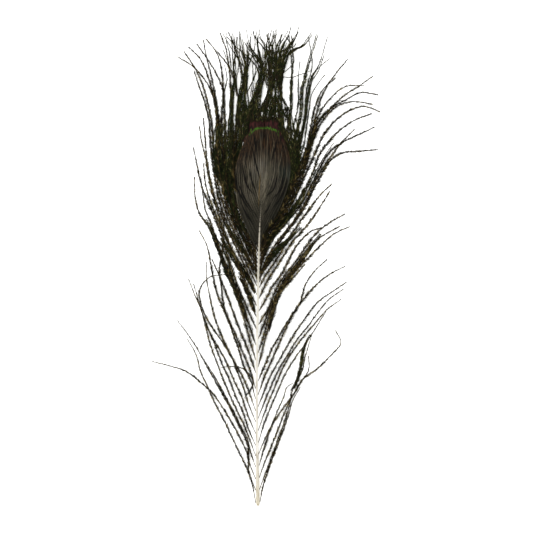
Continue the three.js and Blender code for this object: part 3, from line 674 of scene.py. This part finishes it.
def tint_over(tree, under, colour, strength, *masks):
    """Lays one colour over another, at the given strength where all the masks are 1."""
    share = strength
    for mask in masks:
        share = add_node(tree, "Math", {0: mask, 1: share}, operation="MULTIPLY")
    return add_node(tree, "Mix", {0: share, 6: under, 7: colour}, data_type="RGBA")


def barb_keratin(settings):
    """Melanin-dark keratin: it gives the eye soft brown-black fur with olive and bronze glints."""
    material, tree, shader, u, v = new_material("barb_keratin", 0.7, 0.06)
    tints = [
        (0.1, "#080705"), (0.38, "#12110a"), (0.56, "#2f2614"),
        (0.72, "#5c4f2c"), (0.9, "#857850"), (1.0, "#b0a478"),
    ]
    fur = add_node(tree, "ValToRGB", {0: v}, tints)
    olive = zone(tree, streaks(tree, u, v, 12, 5), (0.52, 0.66))
    fur = tint_over(tree, fur, settings.olive_glint, 0.45, olive)
    bronze = zone(tree, streaks(tree, v, u, 7, 14), (0.58, 0.72))
    fur = tint_over(tree, fur, settings.bronze_glint, 0.4, bronze)
    dark_rooted = [(0.0, "#45371f"), (0.1, "#241a0c"), (0.7, "#281e0e"), (1.0, "#33281a")]
    pale_rooted = [(0.0, "#e6dfcc"), (0.02, "#d2c8b0"), (0.035, "#2e2414"), (1.0, "#33281a")]
    dark_quill = add_node(tree, "ValToRGB", {0: u}, dark_rooted)
    pale_quill = add_node(tree, "ValToRGB", {0: u}, pale_rooted)
    is_pale = add_node(tree, "Math", {0: v, 1: PALE_QUILL}, operation="GREATER_THAN")
    quill = tint_over(tree, dark_quill, pale_quill, 1.0, is_pale)
    on_quill = add_node(tree, "Math", {0: v, 1: QUILL_BAND}, operation="LESS_THAN")
    tree.links.new(tint_over(tree, fur, quill, 1.0, on_quill), shader.inputs["Base Color"])
    return material


def crown_keratin(settings):
    """Melanin-dark keratin: green-black fur and straw, with painted green and brown glints."""
    material, tree, shader, u, v = new_material("crown_keratin", 0.7, 0.06)
    tints = [
        (0.1, "#060604"), (0.4, "#0c0d07"), (0.6, "#1f1f0f"), (0.8, "#4e4b24"), (1.0, "#948a60"),
    ]
    fur = add_node(tree, "ValToRGB", {0: v}, tints)
    # Painted glints: green, then brown highlights laid in streaks over the fur.
    green = zone(tree, streaks(tree, u, v, 36, 7), (0.48, 0.62))
    fur = tint_over(tree, fur, settings.crown_green_glint, 0.6, green)
    brown = zone(tree, streaks(tree, v, u, 6, 17), (0.56, 0.7))
    fur = tint_over(tree, fur, settings.crown_brown_glint, 0.3, brown)
    along_quill = [(0.0, "#2a1b16"), (0.5, "#241d0f"), (1.0, "#332a1a")]
    quill = add_node(tree, "ValToRGB", {0: u}, along_quill)
    on_quill = add_node(tree, "Math", {0: v, 1: QUILL_BAND}, operation="LESS_THAN")
    tree.links.new(tint_over(tree, fur, quill, 1.0, on_quill), shader.inputs["Base Color"])
    return material


def web_place(tree, u, v):
    """Place over the web in millimetres, and 1 on the web's front or 0 on its reverse."""
    left, right, bottom, top = WEB_BOX
    front = add_node(tree, "Math", {0: u, 1: 0.5}, operation="GREATER_THAN")
    doubled = add_node(tree, "Math", {0: u, 1: 2.0}, operation="MULTIPLY")
    across = add_node(tree, "Math", {0: doubled, 1: front}, operation="SUBTRACT")
    x = add_node(tree, "Math", {0: across, 1: right - left, 2: left}, operation="MULTIPLY_ADD")
    y = add_node(tree, "Math", {0: v, 1: top - bottom, 2: bottom}, operation="MULTIPLY_ADD")
    return x, y, front


def eye_distance(tree, x, y):
    """Distance from the eye's middle, with the eye's rounded edge at 1."""
    powers = []
    for place, middle, radius in zip((x, y), EYE_CENTRE, EYE_RADII):
        off = add_node(tree, "Math", {0: place, 1: middle}, operation="SUBTRACT")
        off = add_node(tree, "Math", {0: off, 1: radius}, operation="DIVIDE")
        off = add_node(tree, "Math", {0: off}, operation="ABSOLUTE")
        powers.append(add_node(tree, "Math", {0: off, 1: EYE_SQUARENESS}, operation="POWER"))
    total = add_node(tree, "Math", {0: powers[0], 1: powers[1]}, operation="ADD")
    return add_node(tree, "Math", {0: total, 1: 1 / EYE_SQUARENESS}, operation="POWER")


def web_reverse(tree, x, y, distance, fine, settings):
    """The reverse's colours. The fades are in millimetres, or shares of the eye's own size."""
    slate = tint_over(tree, "#2c2a20", "#6d6654", 1.0, zone(tree, fine, (0.4, 0.62)))
    broad = zone(tree, streaks(tree, x, y, 0.22, 0.07), (0.42, 0.62))
    colour = tint_over(tree, slate, tint_over(tree, "#4a463a", "#7f7767", 1.0, broad), 0.45)

    # Greyer to the right, a teal gleam near that edge, and a pale bloom over the shaft's end.
    colour = tint_over(tree, colour, "#31342c", 0.4, zone(tree, x, (4.0, 12.0)))
    gleam = zone(tree, x, (12.0, 15.0)), zone(tree, y, (204.0, 209.0), (213.0, 217.0))
    colour = tint_over(tree, colour, "#1f4440", 0.25, *gleam)
    bloom = zone(tree, y, (202.0, 212.0), (216.0, 222.0)), zone(tree, x, (-7.0, -2.0), (2.5, 7.0))
    colour = tint_over(tree, colour, "#8d887c", 0.3, *bloom)

    # Brown from the middle up, sooner at the sides, and dark towards the foot.
    brown = tint_over(tree, "#130e08", "#46301d", 1.0, zone(tree, fine, (0.42, 0.6)))
    aside = add_node(tree, "Math", {0: x, 1: 3.5}, operation="SUBTRACT")
    aside = add_node(tree, "Math", {0: aside}, operation="ABSOLUTE")
    height = add_node(tree, "Math", {0: aside, 1: 0.5, 2: y}, operation="MULTIPLY_ADD")
    colour = tint_over(tree, colour, brown, 0.92, zone(tree, height, (215.0, 230.0)))
    colour = tint_over(tree, colour, "#1c1b14", 0.85, zone(tree, y, (213.0, 176.0)))

    # A green rim over the top of the eye, maroon beyond it and olive black beyond that.
    speckle = zone(tree, streaks(tree, x, y, 1.7, 1.1), (0.44, 0.58))
    green = tint_over(tree, "#2a3a10", settings.rim_green, 1.0, speckle)
    rim = zone(tree, distance, (0.94, 0.965)), zone(tree, y, (232.0, 236.0))
    colour = tint_over(tree, colour, green, 1.0, *rim, zone(tree, x, (-8.0, -5.0), (11.5, 15.0)))
    striped = zone(tree, streaks(tree, x, y, 1.7, 0.2), (0.42, 0.58))
    maroon = tint_over(tree, "#0d0807", settings.end_maroon, 1.0, striped)
    top = zone(tree, y, (228.0, 233.0))
    colour = tint_over(tree, colour, maroon, 1.0, zone(tree, distance, (0.995, 1.01)), top)
    olive = tint_over(tree, "#0c0b06", "#25260f", 1.0, speckle)
    colour = tint_over(tree, colour, olive, 1.0, zone(tree, distance, (1.16, 1.27)), top)

    for left, right, high, tone in TONE_SPOTS:
        inside = (
            add_node(tree, "Math", {0: x, 1: left}, operation="GREATER_THAN"),
            add_node(tree, "Math", {0: x, 1: right}, operation="LESS_THAN"),
            add_node(tree, "Math", {0: y, 1: high}, operation="LESS_THAN"),
        )
        colour = tint_over(tree, colour, tone, 1.0, *inside)
    return colour


def web_keratin(settings):
    """Keratin barbs hooked edge to edge: matt slate brown behind, metallic rings in front."""
    material, tree, shader, u, v = new_material("web_keratin", 0.6, 0.1)
    x, y, front = web_place(tree, u, v)
    distance = eye_distance(tree, x, y)
    fine = streaks(tree, x, y, 2.2, 0.16)
    rings = [
        (0.0, "#171a55"), (0.3, "#1a2a7c"), (0.38, "#0f8c99"), (0.52, "#19a08c"), (0.6, "#8a5a22"),
        (0.8, "#6b4419"), (0.86, "#9a8f2e"), (0.93, "#3f7f2a"), (1.0, "#6a4a1e"),
    ]
    inwards = add_node(tree, "Math", {0: distance, 1: 0.95}, operation="MULTIPLY")
    ringed = add_node(tree, "ValToRGB", {0: inwards}, rings)
    ringed = tint_over(tree, ringed, "#101010", 0.35, fine)
    behind = web_reverse(tree, x, y, distance, fine, settings)
    colour = tint_over(tree, behind, ringed, 1.0, front)
    tree.links.new(colour, shader.inputs["Base Color"])
    return material


def shaft_keratin():
    """Solid keratin over white pith: a satin cream rod, tan at its cut end and grey at the eye."""
    material, tree, shader, u, v = new_material("shaft_keratin", 0.42, 0.45)
    along = [
        (0.0, "#b09a76"), (0.03, "#d3c9af"), (0.2, "#ece8de"), (0.6, "#e8e5db"),
        (0.8, "#bdb6a6"), (0.93, "#857d6d"), (1.0, "#4c4338"),
    ]
    body = add_node(tree, "ValToRGB", {0: u}, along)
    grain = zone(tree, streaks(tree, u, v, 30, 9), (0.45, 0.75))
    inputs = {0: grain, 6: body, 7: "#a4977c"}
    body = add_node(tree, "Mix", inputs, data_type="RGBA", blend_type="MULTIPLY")
    tree.links.new(body, shader.inputs["Base Color"])
    return material


def white_card():
    """Matt white card with a glow of its own, so that the feather's shadow on it stays pale."""
    material = bpy.data.materials.new("white_card")
    material.use_nodes = True
    shader = material.node_tree.nodes["Principled BSDF"]
    shader.inputs["Base Color"].default_value = linear("#f4f4f2")
    shader.inputs["Roughness"].default_value = 0.9
    shader.inputs["Emission Color"].default_value = linear("#f4f4f2")
    shader.inputs["Emission Strength"].default_value = 0.6
    return material


# ---------------------------------------------------------------- pieces


def place_piece(name, mesh, slot, *nodes):
    piece = bpy.data.objects.new(name, mesh)
    bpy.context.scene.collection.objects.link(piece)
    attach(piece, "root")
    if nodes:
        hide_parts(*nodes)
    return piece


def feather_origin():
    """The place on the table, under the shaft's cut end, where the millimetre lists have zero."""
    end = middle_line("shaft", SHAFT_SIDES)[0]
    return np.array([end[0] + ORIGIN_ASIDE, end[1], 0])


def edge_x(edge, y):
    """Where a line, the web's edge or the shaft, is across the feather at this height up it."""
    points = np.asarray(edge, float)
    return np.interp(y, points[:, 1], points[:, 0])


def rounded_ring(ring):
    """A ring's points in order around it, with a point added on the curve between each two."""
    middle = ring.mean(axis=0)
    turn = np.arctan2(ring[:, 2] - middle[2], ring[:, 0] - middle[0])
    ring = ring[np.argsort(turn)]
    before, after, next_after = (np.roll(ring, -k, axis=0) for k in (-1, 1, 2))
    between_points = (9 * (ring + after) - before - next_after) / 16
    return np.stack([ring, between_points], axis=1).reshape(-1, 3)


def make_rachis():
    """The shaft, lofted through the rings of its solid with twice as many points around."""
    rings = np.array([rounded_ring(ring) for ring in rings_of("shaft", SHAFT_SIDES)])
    steps, sides = len(rings) - 1, 2 * SHAFT_SIDES
    places, faces = strand_template(sides, steps)
    step = np.rint(places[:, 2] * steps).astype(int)
    turn = np.arctan2(places[:, 1], places[:, 0]) / (2 * math.pi) * sides
    first = np.arctan2(*(rings[:, 0] - rings.mean(axis=1))[:, [2, 0]].T) / (2 * math.pi) * sides
    index = np.rint(turn - first.mean()).astype(int) % sides
    moved = rings[step, index]
    corners = faces.ravel()
    along = places[corners, 2]
    upper = np.repeat(moved[faces][:, :, 2].mean(axis=1) >= rings[:, :, 2].mean(), 3)
    around = 0.03 + 0.9 * index[corners] / sides
    pile = Pile()
    pile.add(moved, faces, np.stack([0.01 + 0.98 * along, around + 0.03 * upper], axis=1))
    mesh = pile.mesh("rachis", shaft_keratin())
    mesh.set_sharp_from_angle(angle=math.radians(50))
    return place_piece("rachis", mesh, "shaft_horn", "shaft")


def make_herls(settings):
    """One furry barb along the line of each loose barb's solid."""
    material = barb_keratin(settings)
    origin = feather_origin()
    for node in sorted(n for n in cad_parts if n.startswith("barb_")):
        rng = np.random.default_rng([SEED, *node.encode()])
        line = middle_line(node, BARB_SIDES)
        into_shaft = line[0] + (line[0] - line[1]) * INTO_SHAFT
        line = np.concatenate([[into_shaft], line[1:]])
        pile = Pile()
        height = line[0][1] - origin[1]
        up = float(smooth(height, *LENGTHENS))
        full = settings.low_length + (settings.high_length - settings.low_length) * up
        pale_root = PALE_ROOTS[0] < height < PALE_ROOTS[1]
        tint = rng.uniform(*HERL_TINTS) - DARKENING * float(smooth(height, *DARKENS))
        base = LOW_BASE + (HIGH_BASE - LOW_BASE) * up
        herl(pile, line, rng, settings, settings.pitch, tint, full, pale_root, base)
        mesh = pile.mesh(node.replace("barb", "herl"), material)
        place_piece(mesh.name, mesh, "barb_keratin", node)


def web_line(shaft, edge, share):
    """A web barb's line, share of the way out from the shaft to the outermost one.

    The further in it lies, the higher it leaves the shaft and the straighter it runs.
    """
    climb = np.linspace(0, 1, 40)
    foot = WEB_FOOT + (LAST_FOOT - WEB_FOOT) * (1 - share) ** 0.8
    y = foot + (WEB_TOP - foot) * climb
    outer_y = WEB_FOOT + (WEB_TOP - WEB_FOOT) * climb ** (0.55 + 0.45 * share)
    out = edge_x(edge, outer_y) - edge_x(shaft, outer_y)
    x = edge_x(shaft, y) + share * out
    off = np.abs((x - WEB_END_CENTRE[0]) / WEB_END_RADII[0]).clip(0, 0.97)
    top = WEB_END_CENTRE[1] + WEB_END_RADII[1] * (1 - off**EYE_SQUARENESS) ** (1 / EYE_SQUARENESS)
    return spline(np.stack([x, y], axis=1)[y < top], WEB_POINTS)


def low_lift(flat):
    """How far the web's lower part lies above the rest of it, on either side of the shaft."""
    aside = smooth(np.abs(flat[:, 0] - 0.8), *LIFT_ASIDE)
    return LOW_LIFT * aside * (1 - smooth(flat[:, 1], *LIFT_ENDS))


def web_spot(x, y, above):
    """The place on the map for a place over the web, with the front's copy beside the reverse's."""
    left, right, bottom, top = WEB_BOX
    u = 0.5 * np.clip((x - left) / (right - left), 0.01, 0.99) + np.where(above, 0, 0.5)
    return np.stack([u, np.clip((y - bottom) / (top - bottom), 0.005, 0.995)], axis=1)


def web_map(shift):
    """Maps a web barb by where it lies, a little to one side, so that each barb has its own tone."""

    def mapped(flat, moved, above):
        return web_spot(moved[:, 0] / MM + shift[0], moved[:, 1] / MM + shift[1], above)

    return mapped


def spot_map(spot):
    """Maps a whole strand to the neighbourhood of one spot."""

    def mapped(flat, moved, above):
        x = spot[0] + 0.5 * flat[:, 0]
        return web_spot(x, spot[1] + flat[:, 2], True)

    return mapped


def add_web_barb(pile, flat, height, rng, settings):
    """Adds one ridged strip of the web, and a row of barbules over each side of it."""
    line = np.column_stack([flat[:, 0], flat[:, 1], height]) * MM
    widths = settings.web_strip * (0.9 + 0.25 * rng.random()) * np.ones(len(flat))
    shift = rng.uniform(-1, 1, 2) * TONE_SHIFT
    add_strand(pile, line, widths, STRIP_FLATNESS * widths, 4, web_map(shift))
    count = int(length_of(line) / settings.web_pitch)
    fine = spline(line, count)
    ahead, left = headings(fine)
    for row in (-1, 1):
        angle = np.radians(rng.normal(WEB_ANGLE, WEB_ANGLE_SPREAD, count))
        directions = ahead * np.cos(angle)[:, None] + left * (row * np.sin(angle))[:, None]
        directions[:, 2] += WEB_RISE
        lengths = settings.web_length * (0.7 + 0.6 * rng.random(count))
        roots = fine + np.array([0, 0, WEB_ROOT])
        spots = web_spot(roots[:, 0] / MM + shift[0], roots[:, 1] / MM + shift[1], True)
        tips = roots + directions * lengths[:, None]
        add_spikes(pile, roots, tips, np.full(count, WEB_WIDTH), spots, 0.003)


def make_web(name, edge, marks, settings, material, shaft, origin, node):
    """Half of the eye's web: barbs side by side, each a ridged strip with barbules over it.

    A dark line, of painted shade with the dark barbs under it, or a pale one runs beside each barb, and
    the marks lie over them.
    """
    rng = np.random.default_rng([SEED, *name.encode()])
    pile = Pile()
    for k in range(settings.web_barbs):
        share = (k + 1) / settings.web_barbs
        drift = STRIP_DRIFT * (waver(rng, WEB_POINTS, 12) - 0.5)
        flat = web_line(shaft, edge, share)
        height = STRIP_HEIGHT + STRIP_STEP * (k % 2) + STRIP_BULGE * math.sin(math.pi * share) + drift
        add_web_barb(pile, flat, height + low_lift(flat), rng, settings)
    for k in range(1, settings.web_barbs):
        flat = web_line(shaft, edge, (k + 0.5) / settings.web_barbs)
        pale = k % PALE_EVERY == 3
        # A dark line stands for painted shade in the slit, with the dark barbs under it.
        spot, width = (PALE_SPOT, PALE_LINE_WIDTH) if pale else (DARK_SPOT, rng.uniform(*DARK_LINE_WIDTHS))
        start = rng.uniform(*LINE_STARTS) + PALE_LATER * pale
        stop = start + rng.uniform(*PALE_LENGTHS) if pale else rng.uniform(*DARK_STOPS)
        share = np.linspace(0, 1, len(flat))
        flat = spline(flat[(share >= start) & (share <= stop)], LINE_POINTS)
        line = np.column_stack([flat, LINE_HEIGHT + low_lift(flat)]) * MM
        widths = width * np.sin(np.linspace(0.2, math.pi - 0.2, LINE_POINTS)) * MM
        add_strand(pile, line, widths, 0.3 * widths, 4, spot_map(spot))
    # The splits' dark marks are painted shade with the dark barbs under it.
    for paths, spot, width in marks:
        for path in paths:
            flat = spline(np.array(path, float), MARK_POINTS)
            line = np.column_stack([flat, MARK_HEIGHT + low_lift(flat)]) * MM
            widths = width * np.sin(np.linspace(0.15, math.pi - 0.15, MARK_POINTS)) * MM
            add_strand(pile, line, widths, 0.5 * widths, 4, spot_map(spot))
    for part in pile.places:
        part += origin
    return place_piece(name, pile.mesh(name, material), "web_keratin", node)


def crown_strands(bundles, rng):
    """The barbs of every bundle, side by side across its width and cut to different lengths."""
    strands = []
    for barbs, fullness, points in bundles:
        middle = spline(np.array(points, float), STRAND_POINTS)
        places = np.linspace(-1, 1, barbs) if barbs > 1 else np.zeros(1)
        wander = WANDER * min(1.0, (middle[-1, 1] - middle[0, 1]) / WANDER_LENGTH)
        for place in places:
            shift = place + wander * (waver(rng, STRAND_POINTS, WANDER_STEP) - 0.5)
            stray = rng.normal(0, STRAY) * np.maximum(middle[:, 1] - STRAY_FROM, 0)
            x = middle[:, 0] + shift * middle[:, 2] + stray
            reach = rng.uniform(*CUT_BACK) if abs(place) < 1 else 1.0
            start, stop = rng.integers(0, 3), int(STRAND_POINTS * reach)
            strands.append((fullness, np.stack([x, middle[:, 1]], axis=1)[start:stop]))
    return strands


def make_crown(name, bundles, settings, material, origin):
    """The barbs around the web and the free ends beyond it, laid over one another."""
    rng = np.random.default_rng([SEED, *name.encode()])
    pile = Pile()
    for k, (fullness, flat) in enumerate(crown_strands(bundles, rng)):
        height = CROWN_HEIGHT + CROWN_LAYER * (k % 3)
        for climb, start, stop in CROWN_CLIMBS:
            height = height + climb * smooth(flat[:, 1], start, stop)
        line = np.column_stack([flat, height]) * MM + origin
        full = fullness * settings.crown_length
        tint = rng.uniform(*CROWN_TINTS)
        pitch, thins = settings.crown_pitch, settings.crown_thins
        herl(pile, line, rng, settings, pitch, tint, full, False, CROWN_BASE, thins)
    return place_piece(name, pile.mesh(name, material), "web_keratin")


# ---------------------------------------------------------------- add-on


def colour_property(name, description, hex_colour):
    """A colour that starts as the given sRGB one."""
    return FloatVectorProperty(
        name=name,
        description=description,
        default=linear(hex_colour),
        size=4,
        min=0.0,
        max=1.0,
        subtype="COLOR",
    )


class FeatherSettings(PropertyGroup):
    """Sizes and colours of the feather's fine parts."""

    quill_width: FloatProperty(
        name="Quill width",
        description="Thickness of a loose barb's quill where it leaves the shaft",
        default=0.45 * MM,
        min=0.05 * MM,
        unit="LENGTH",
    )
    low_length: FloatProperty(
        name="Low barbule length",
        description="Length of a full barbule on the lowest loose barbs",
        default=1.55 * MM,
        min=0.1 * MM,
        unit="LENGTH",
    )
    high_length: FloatProperty(
        name="High barbule length",
        description="Length of a full barbule on the loose barbs beside the eye",
        default=2.35 * MM,
        min=0.1 * MM,
        unit="LENGTH",
    )
    crown_length: FloatProperty(
        name="Crown barbule length",
        description="Length of a full barbule around and beyond the web",
        default=1.9 * MM,
        min=0.1 * MM,
        unit="LENGTH",
    )
    pitch: FloatProperty(
        name="Barbule pitch",
        description="Distance between barbules, wider than life so that they can be drawn",
        default=0.16 * MM,
        min=0.05 * MM,
        unit="LENGTH",
    )
    crown_pitch: FloatProperty(
        name="Crown pitch",
        description="Distance between barbules around and beyond the web, wider still",
        default=0.255 * MM,
        min=0.05 * MM,
        unit="LENGTH",
    )
    crown_thins: FloatProperty(
        name="Crown thins",
        description="Share of a crown barb's length after which its barbules shorten",
        default=0.55,
        min=0.0,
        max=0.6,
        subtype="FACTOR",
    )
    tuft: FloatProperty(
        name="Tuft length",
        description="Length of barb whose barbules lie together in one tuft",
        default=0.8 * MM,
        min=0.1 * MM,
        unit="LENGTH",
    )
    width: FloatProperty(
        name="Barbule width",
        description="Width of a barbule at its root, wider than life so that it can be drawn",
        default=0.27 * MM,
        min=0.01 * MM,
        unit="LENGTH",
    )
    web_barbs: IntProperty(
        name="Web barbs", description="Barbs hooked together in half of the web", default=32, min=4
    )
    web_strip: FloatProperty(
        name="Web strip",
        description="Width of one barb's strip of the web",
        default=1.2 * MM,
        min=0.2 * MM,
        unit="LENGTH",
    )
    web_length: FloatProperty(
        name="Web barbule length",
        description="Length of a barbule that shows over the web",
        default=0.75 * MM,
        min=0.1 * MM,
        unit="LENGTH",
    )
    web_pitch: FloatProperty(
        name="Web pitch",
        description="Distance between barbules over the web",
        default=0.24 * MM,
        min=0.05 * MM,
        unit="LENGTH",
    )
    olive_glint: colour_property("Olive glint", "The gleam along the loose barbs", "#26360f")
    bronze_glint: colour_property("Bronze glint", "The warmer gleam on the loose barbs", "#4a3112")
    # The crown's green and brown are painted glints on its barbs.
    crown_green_glint: colour_property("Crown green glint", "The gleam on the barbs round the web", "#223c14")
    crown_brown_glint: colour_property("Crown brown glint", "The flecks on the barbs round the web", "#402c15")
    rim_green: colour_property("Rim green", "The arc over the top of the eye", "#4d7f24")
    end_maroon: colour_property("End maroon", "The streaks beyond that arc", "#43211f")


class StageSettings(PropertyGroup):
    """The table, the lights and the camera."""

    view_width: FloatProperty(
        name="View width",
        description="Width of table that the camera sees",
        default=0.3379,
        min=0.1,
        unit="LENGTH",
    )
    lens: FloatProperty(
        name="Lens",
        description="Focal length in millimetres",
        default=100.0,
        min=20.0,
        unit="CAMERA",
    )
    lamp_power: FloatProperty(
        name="Lamp power",
        description="Power of the soft lamp in watts",
        default=9.0,
        min=0.0,
        unit="POWER",
    )


class FEATHER_OT_rachis(Operator):
    """Builds the shaft"""

    bl_idname = "feather.rachis"
    bl_label = "Build shaft"

    def execute(self, context):
        make_rachis()
        return {"FINISHED"}


class FEATHER_OT_herls(Operator):
    """Builds the loose barbs on both sides of the shaft"""

    bl_idname = "feather.herls"
    bl_label = "Build loose barbs"

    def execute(self, context):
        make_herls(context.scene.feather)
        return {"FINISHED"}


class FEATHER_OT_web(Operator):
    """Builds both halves of the web of the eye"""

    bl_idname = "feather.web"
    bl_label = "Build eye web"

    def execute(self, context):
        settings = context.scene.feather
        origin = feather_origin()
        shaft = (middle_line("shaft", SHAFT_SIDES) - origin)[:, :2] / MM
        shaft = np.concatenate([shaft, [SHAFT_LINE_END]])
        material = web_keratin(settings)
        marks = [
            (LEFT_SPLIT_SHADOWS, DARK_SPOT, SPLIT_SHADOW_WIDTH),
            (LEFT_PALE, PALE_SPOT, PALE_WIDTH),
            (SHAFT_GLINT, GOLD_SPOT, GLINT_WIDTH),
        ]
        make_web("eye_web_left", LEFT_WEB, marks, settings, material, shaft, origin, "web_left")
        marks = [(RIGHT_SPLIT_SHADOWS, DARK_SPOT, SPLIT_SHADOW_WIDTH), (RIGHT_PALE, PALE_SPOT, PALE_WIDTH)]
        make_web("eye_web_right", RIGHT_WEB, marks, settings, material, shaft, origin, "web_right")
        return {"FINISHED"}


class FEATHER_OT_crown(Operator):
    """Builds the barbs around the web and the free ends beyond it"""

    bl_idname = "feather.crown"
    bl_label = "Build crown"

    def execute(self, context):
        settings = context.scene.feather
        material = crown_keratin(settings)
        origin = feather_origin()
        make_crown("crown_left", LEFT_CROWN, settings, material, origin)
        make_crown("crown_right", RIGHT_CROWN, settings, material, origin)
        return {"FINISHED"}


class FEATHER_OT_stage(Operator):
    """Builds the table, the lights and the camera"""

    bl_idname = "feather.stage"
    bl_label = "Build stage"

    def execute(self, context):
        settings = context.scene.feather_stage
        scene = context.scene
        bpy.ops.mesh.primitive_plane_add(size=TABLE_SIDE)
        floor = context.object
        floor.name = "table"
        floor.data.materials.append(white_card())

        world = bpy.data.worlds.new("studio")
        world.use_nodes = True
        sky = world.node_tree.nodes["Background"].inputs
        sky["Color"].default_value = linear("#ffffff")
        sky["Strength"].default_value = SKY_STRENGTH
        scene.world = world

        lamp = bpy.data.lights.new("softbox", "AREA")
        lamp.shape = "DISK"
        lamp.size = LAMP_WIDTH
        lamp.energy = settings.lamp_power
        softbox = bpy.data.objects.new("softbox", lamp)
        softbox.location = LAMP_PLACE
        aim = -np.array(softbox.location)
        softbox.rotation_euler = (
            math.atan2(math.hypot(aim[0], aim[1]), -aim[2]),
            0,
            math.atan2(aim[1], aim[0]) - math.pi / 2,
        )
        scene.collection.objects.link(softbox)

        camera = bpy.data.objects.new("camera", bpy.data.cameras.new("camera"))
        camera.data.lens = settings.lens
        distance = settings.view_width * settings.lens / camera.data.sensor_width
        camera.location = (*VIEW_MIDDLE, distance)
        scene.collection.objects.link(camera)
        scene.camera = camera
        scene.view_settings.view_transform = "Standard"
        return {"FINISHED"}


OPERATORS = (
    FEATHER_OT_rachis,
    FEATHER_OT_herls,
    FEATHER_OT_web,
    FEATHER_OT_crown,
    FEATHER_OT_stage,
)


class FEATHER_PT_panel(Panel):
    """Lists what the feather is built from"""

    bl_idname = "FEATHER_PT_panel"
    bl_label = "Peacock feather"
    bl_space_type = "VIEW_3D"
    bl_region_type = "UI"
    bl_category = "Feather"

    def draw(self, context):
        for settings in (context.scene.feather, context.scene.feather_stage):
            for name in settings.__annotations__:
                self.layout.prop(settings, name)
        for operator in OPERATORS:
            self.layout.operator(operator.bl_idname)


CLASSES = (FeatherSettings, StageSettings, *OPERATORS, FEATHER_PT_panel)


def register():
    for cls in CLASSES:
        bpy.utils.register_class(cls)
    bpy.types.Scene.feather = PointerProperty(type=FeatherSettings)
    bpy.types.Scene.feather_stage = PointerProperty(type=StageSettings)


def unregister():
    del bpy.types.Scene.feather_stage
    del bpy.types.Scene.feather
    for cls in reversed(CLASSES):
        bpy.utils.unregister_class(cls)


def main():
    register()
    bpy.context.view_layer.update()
    bpy.ops.feather.rachis()
    bpy.ops.feather.herls()
    bpy.ops.feather.web()
    bpy.ops.feather.crown()
    bpy.ops.feather.stage()


if __name__ == "__main__":
    main()
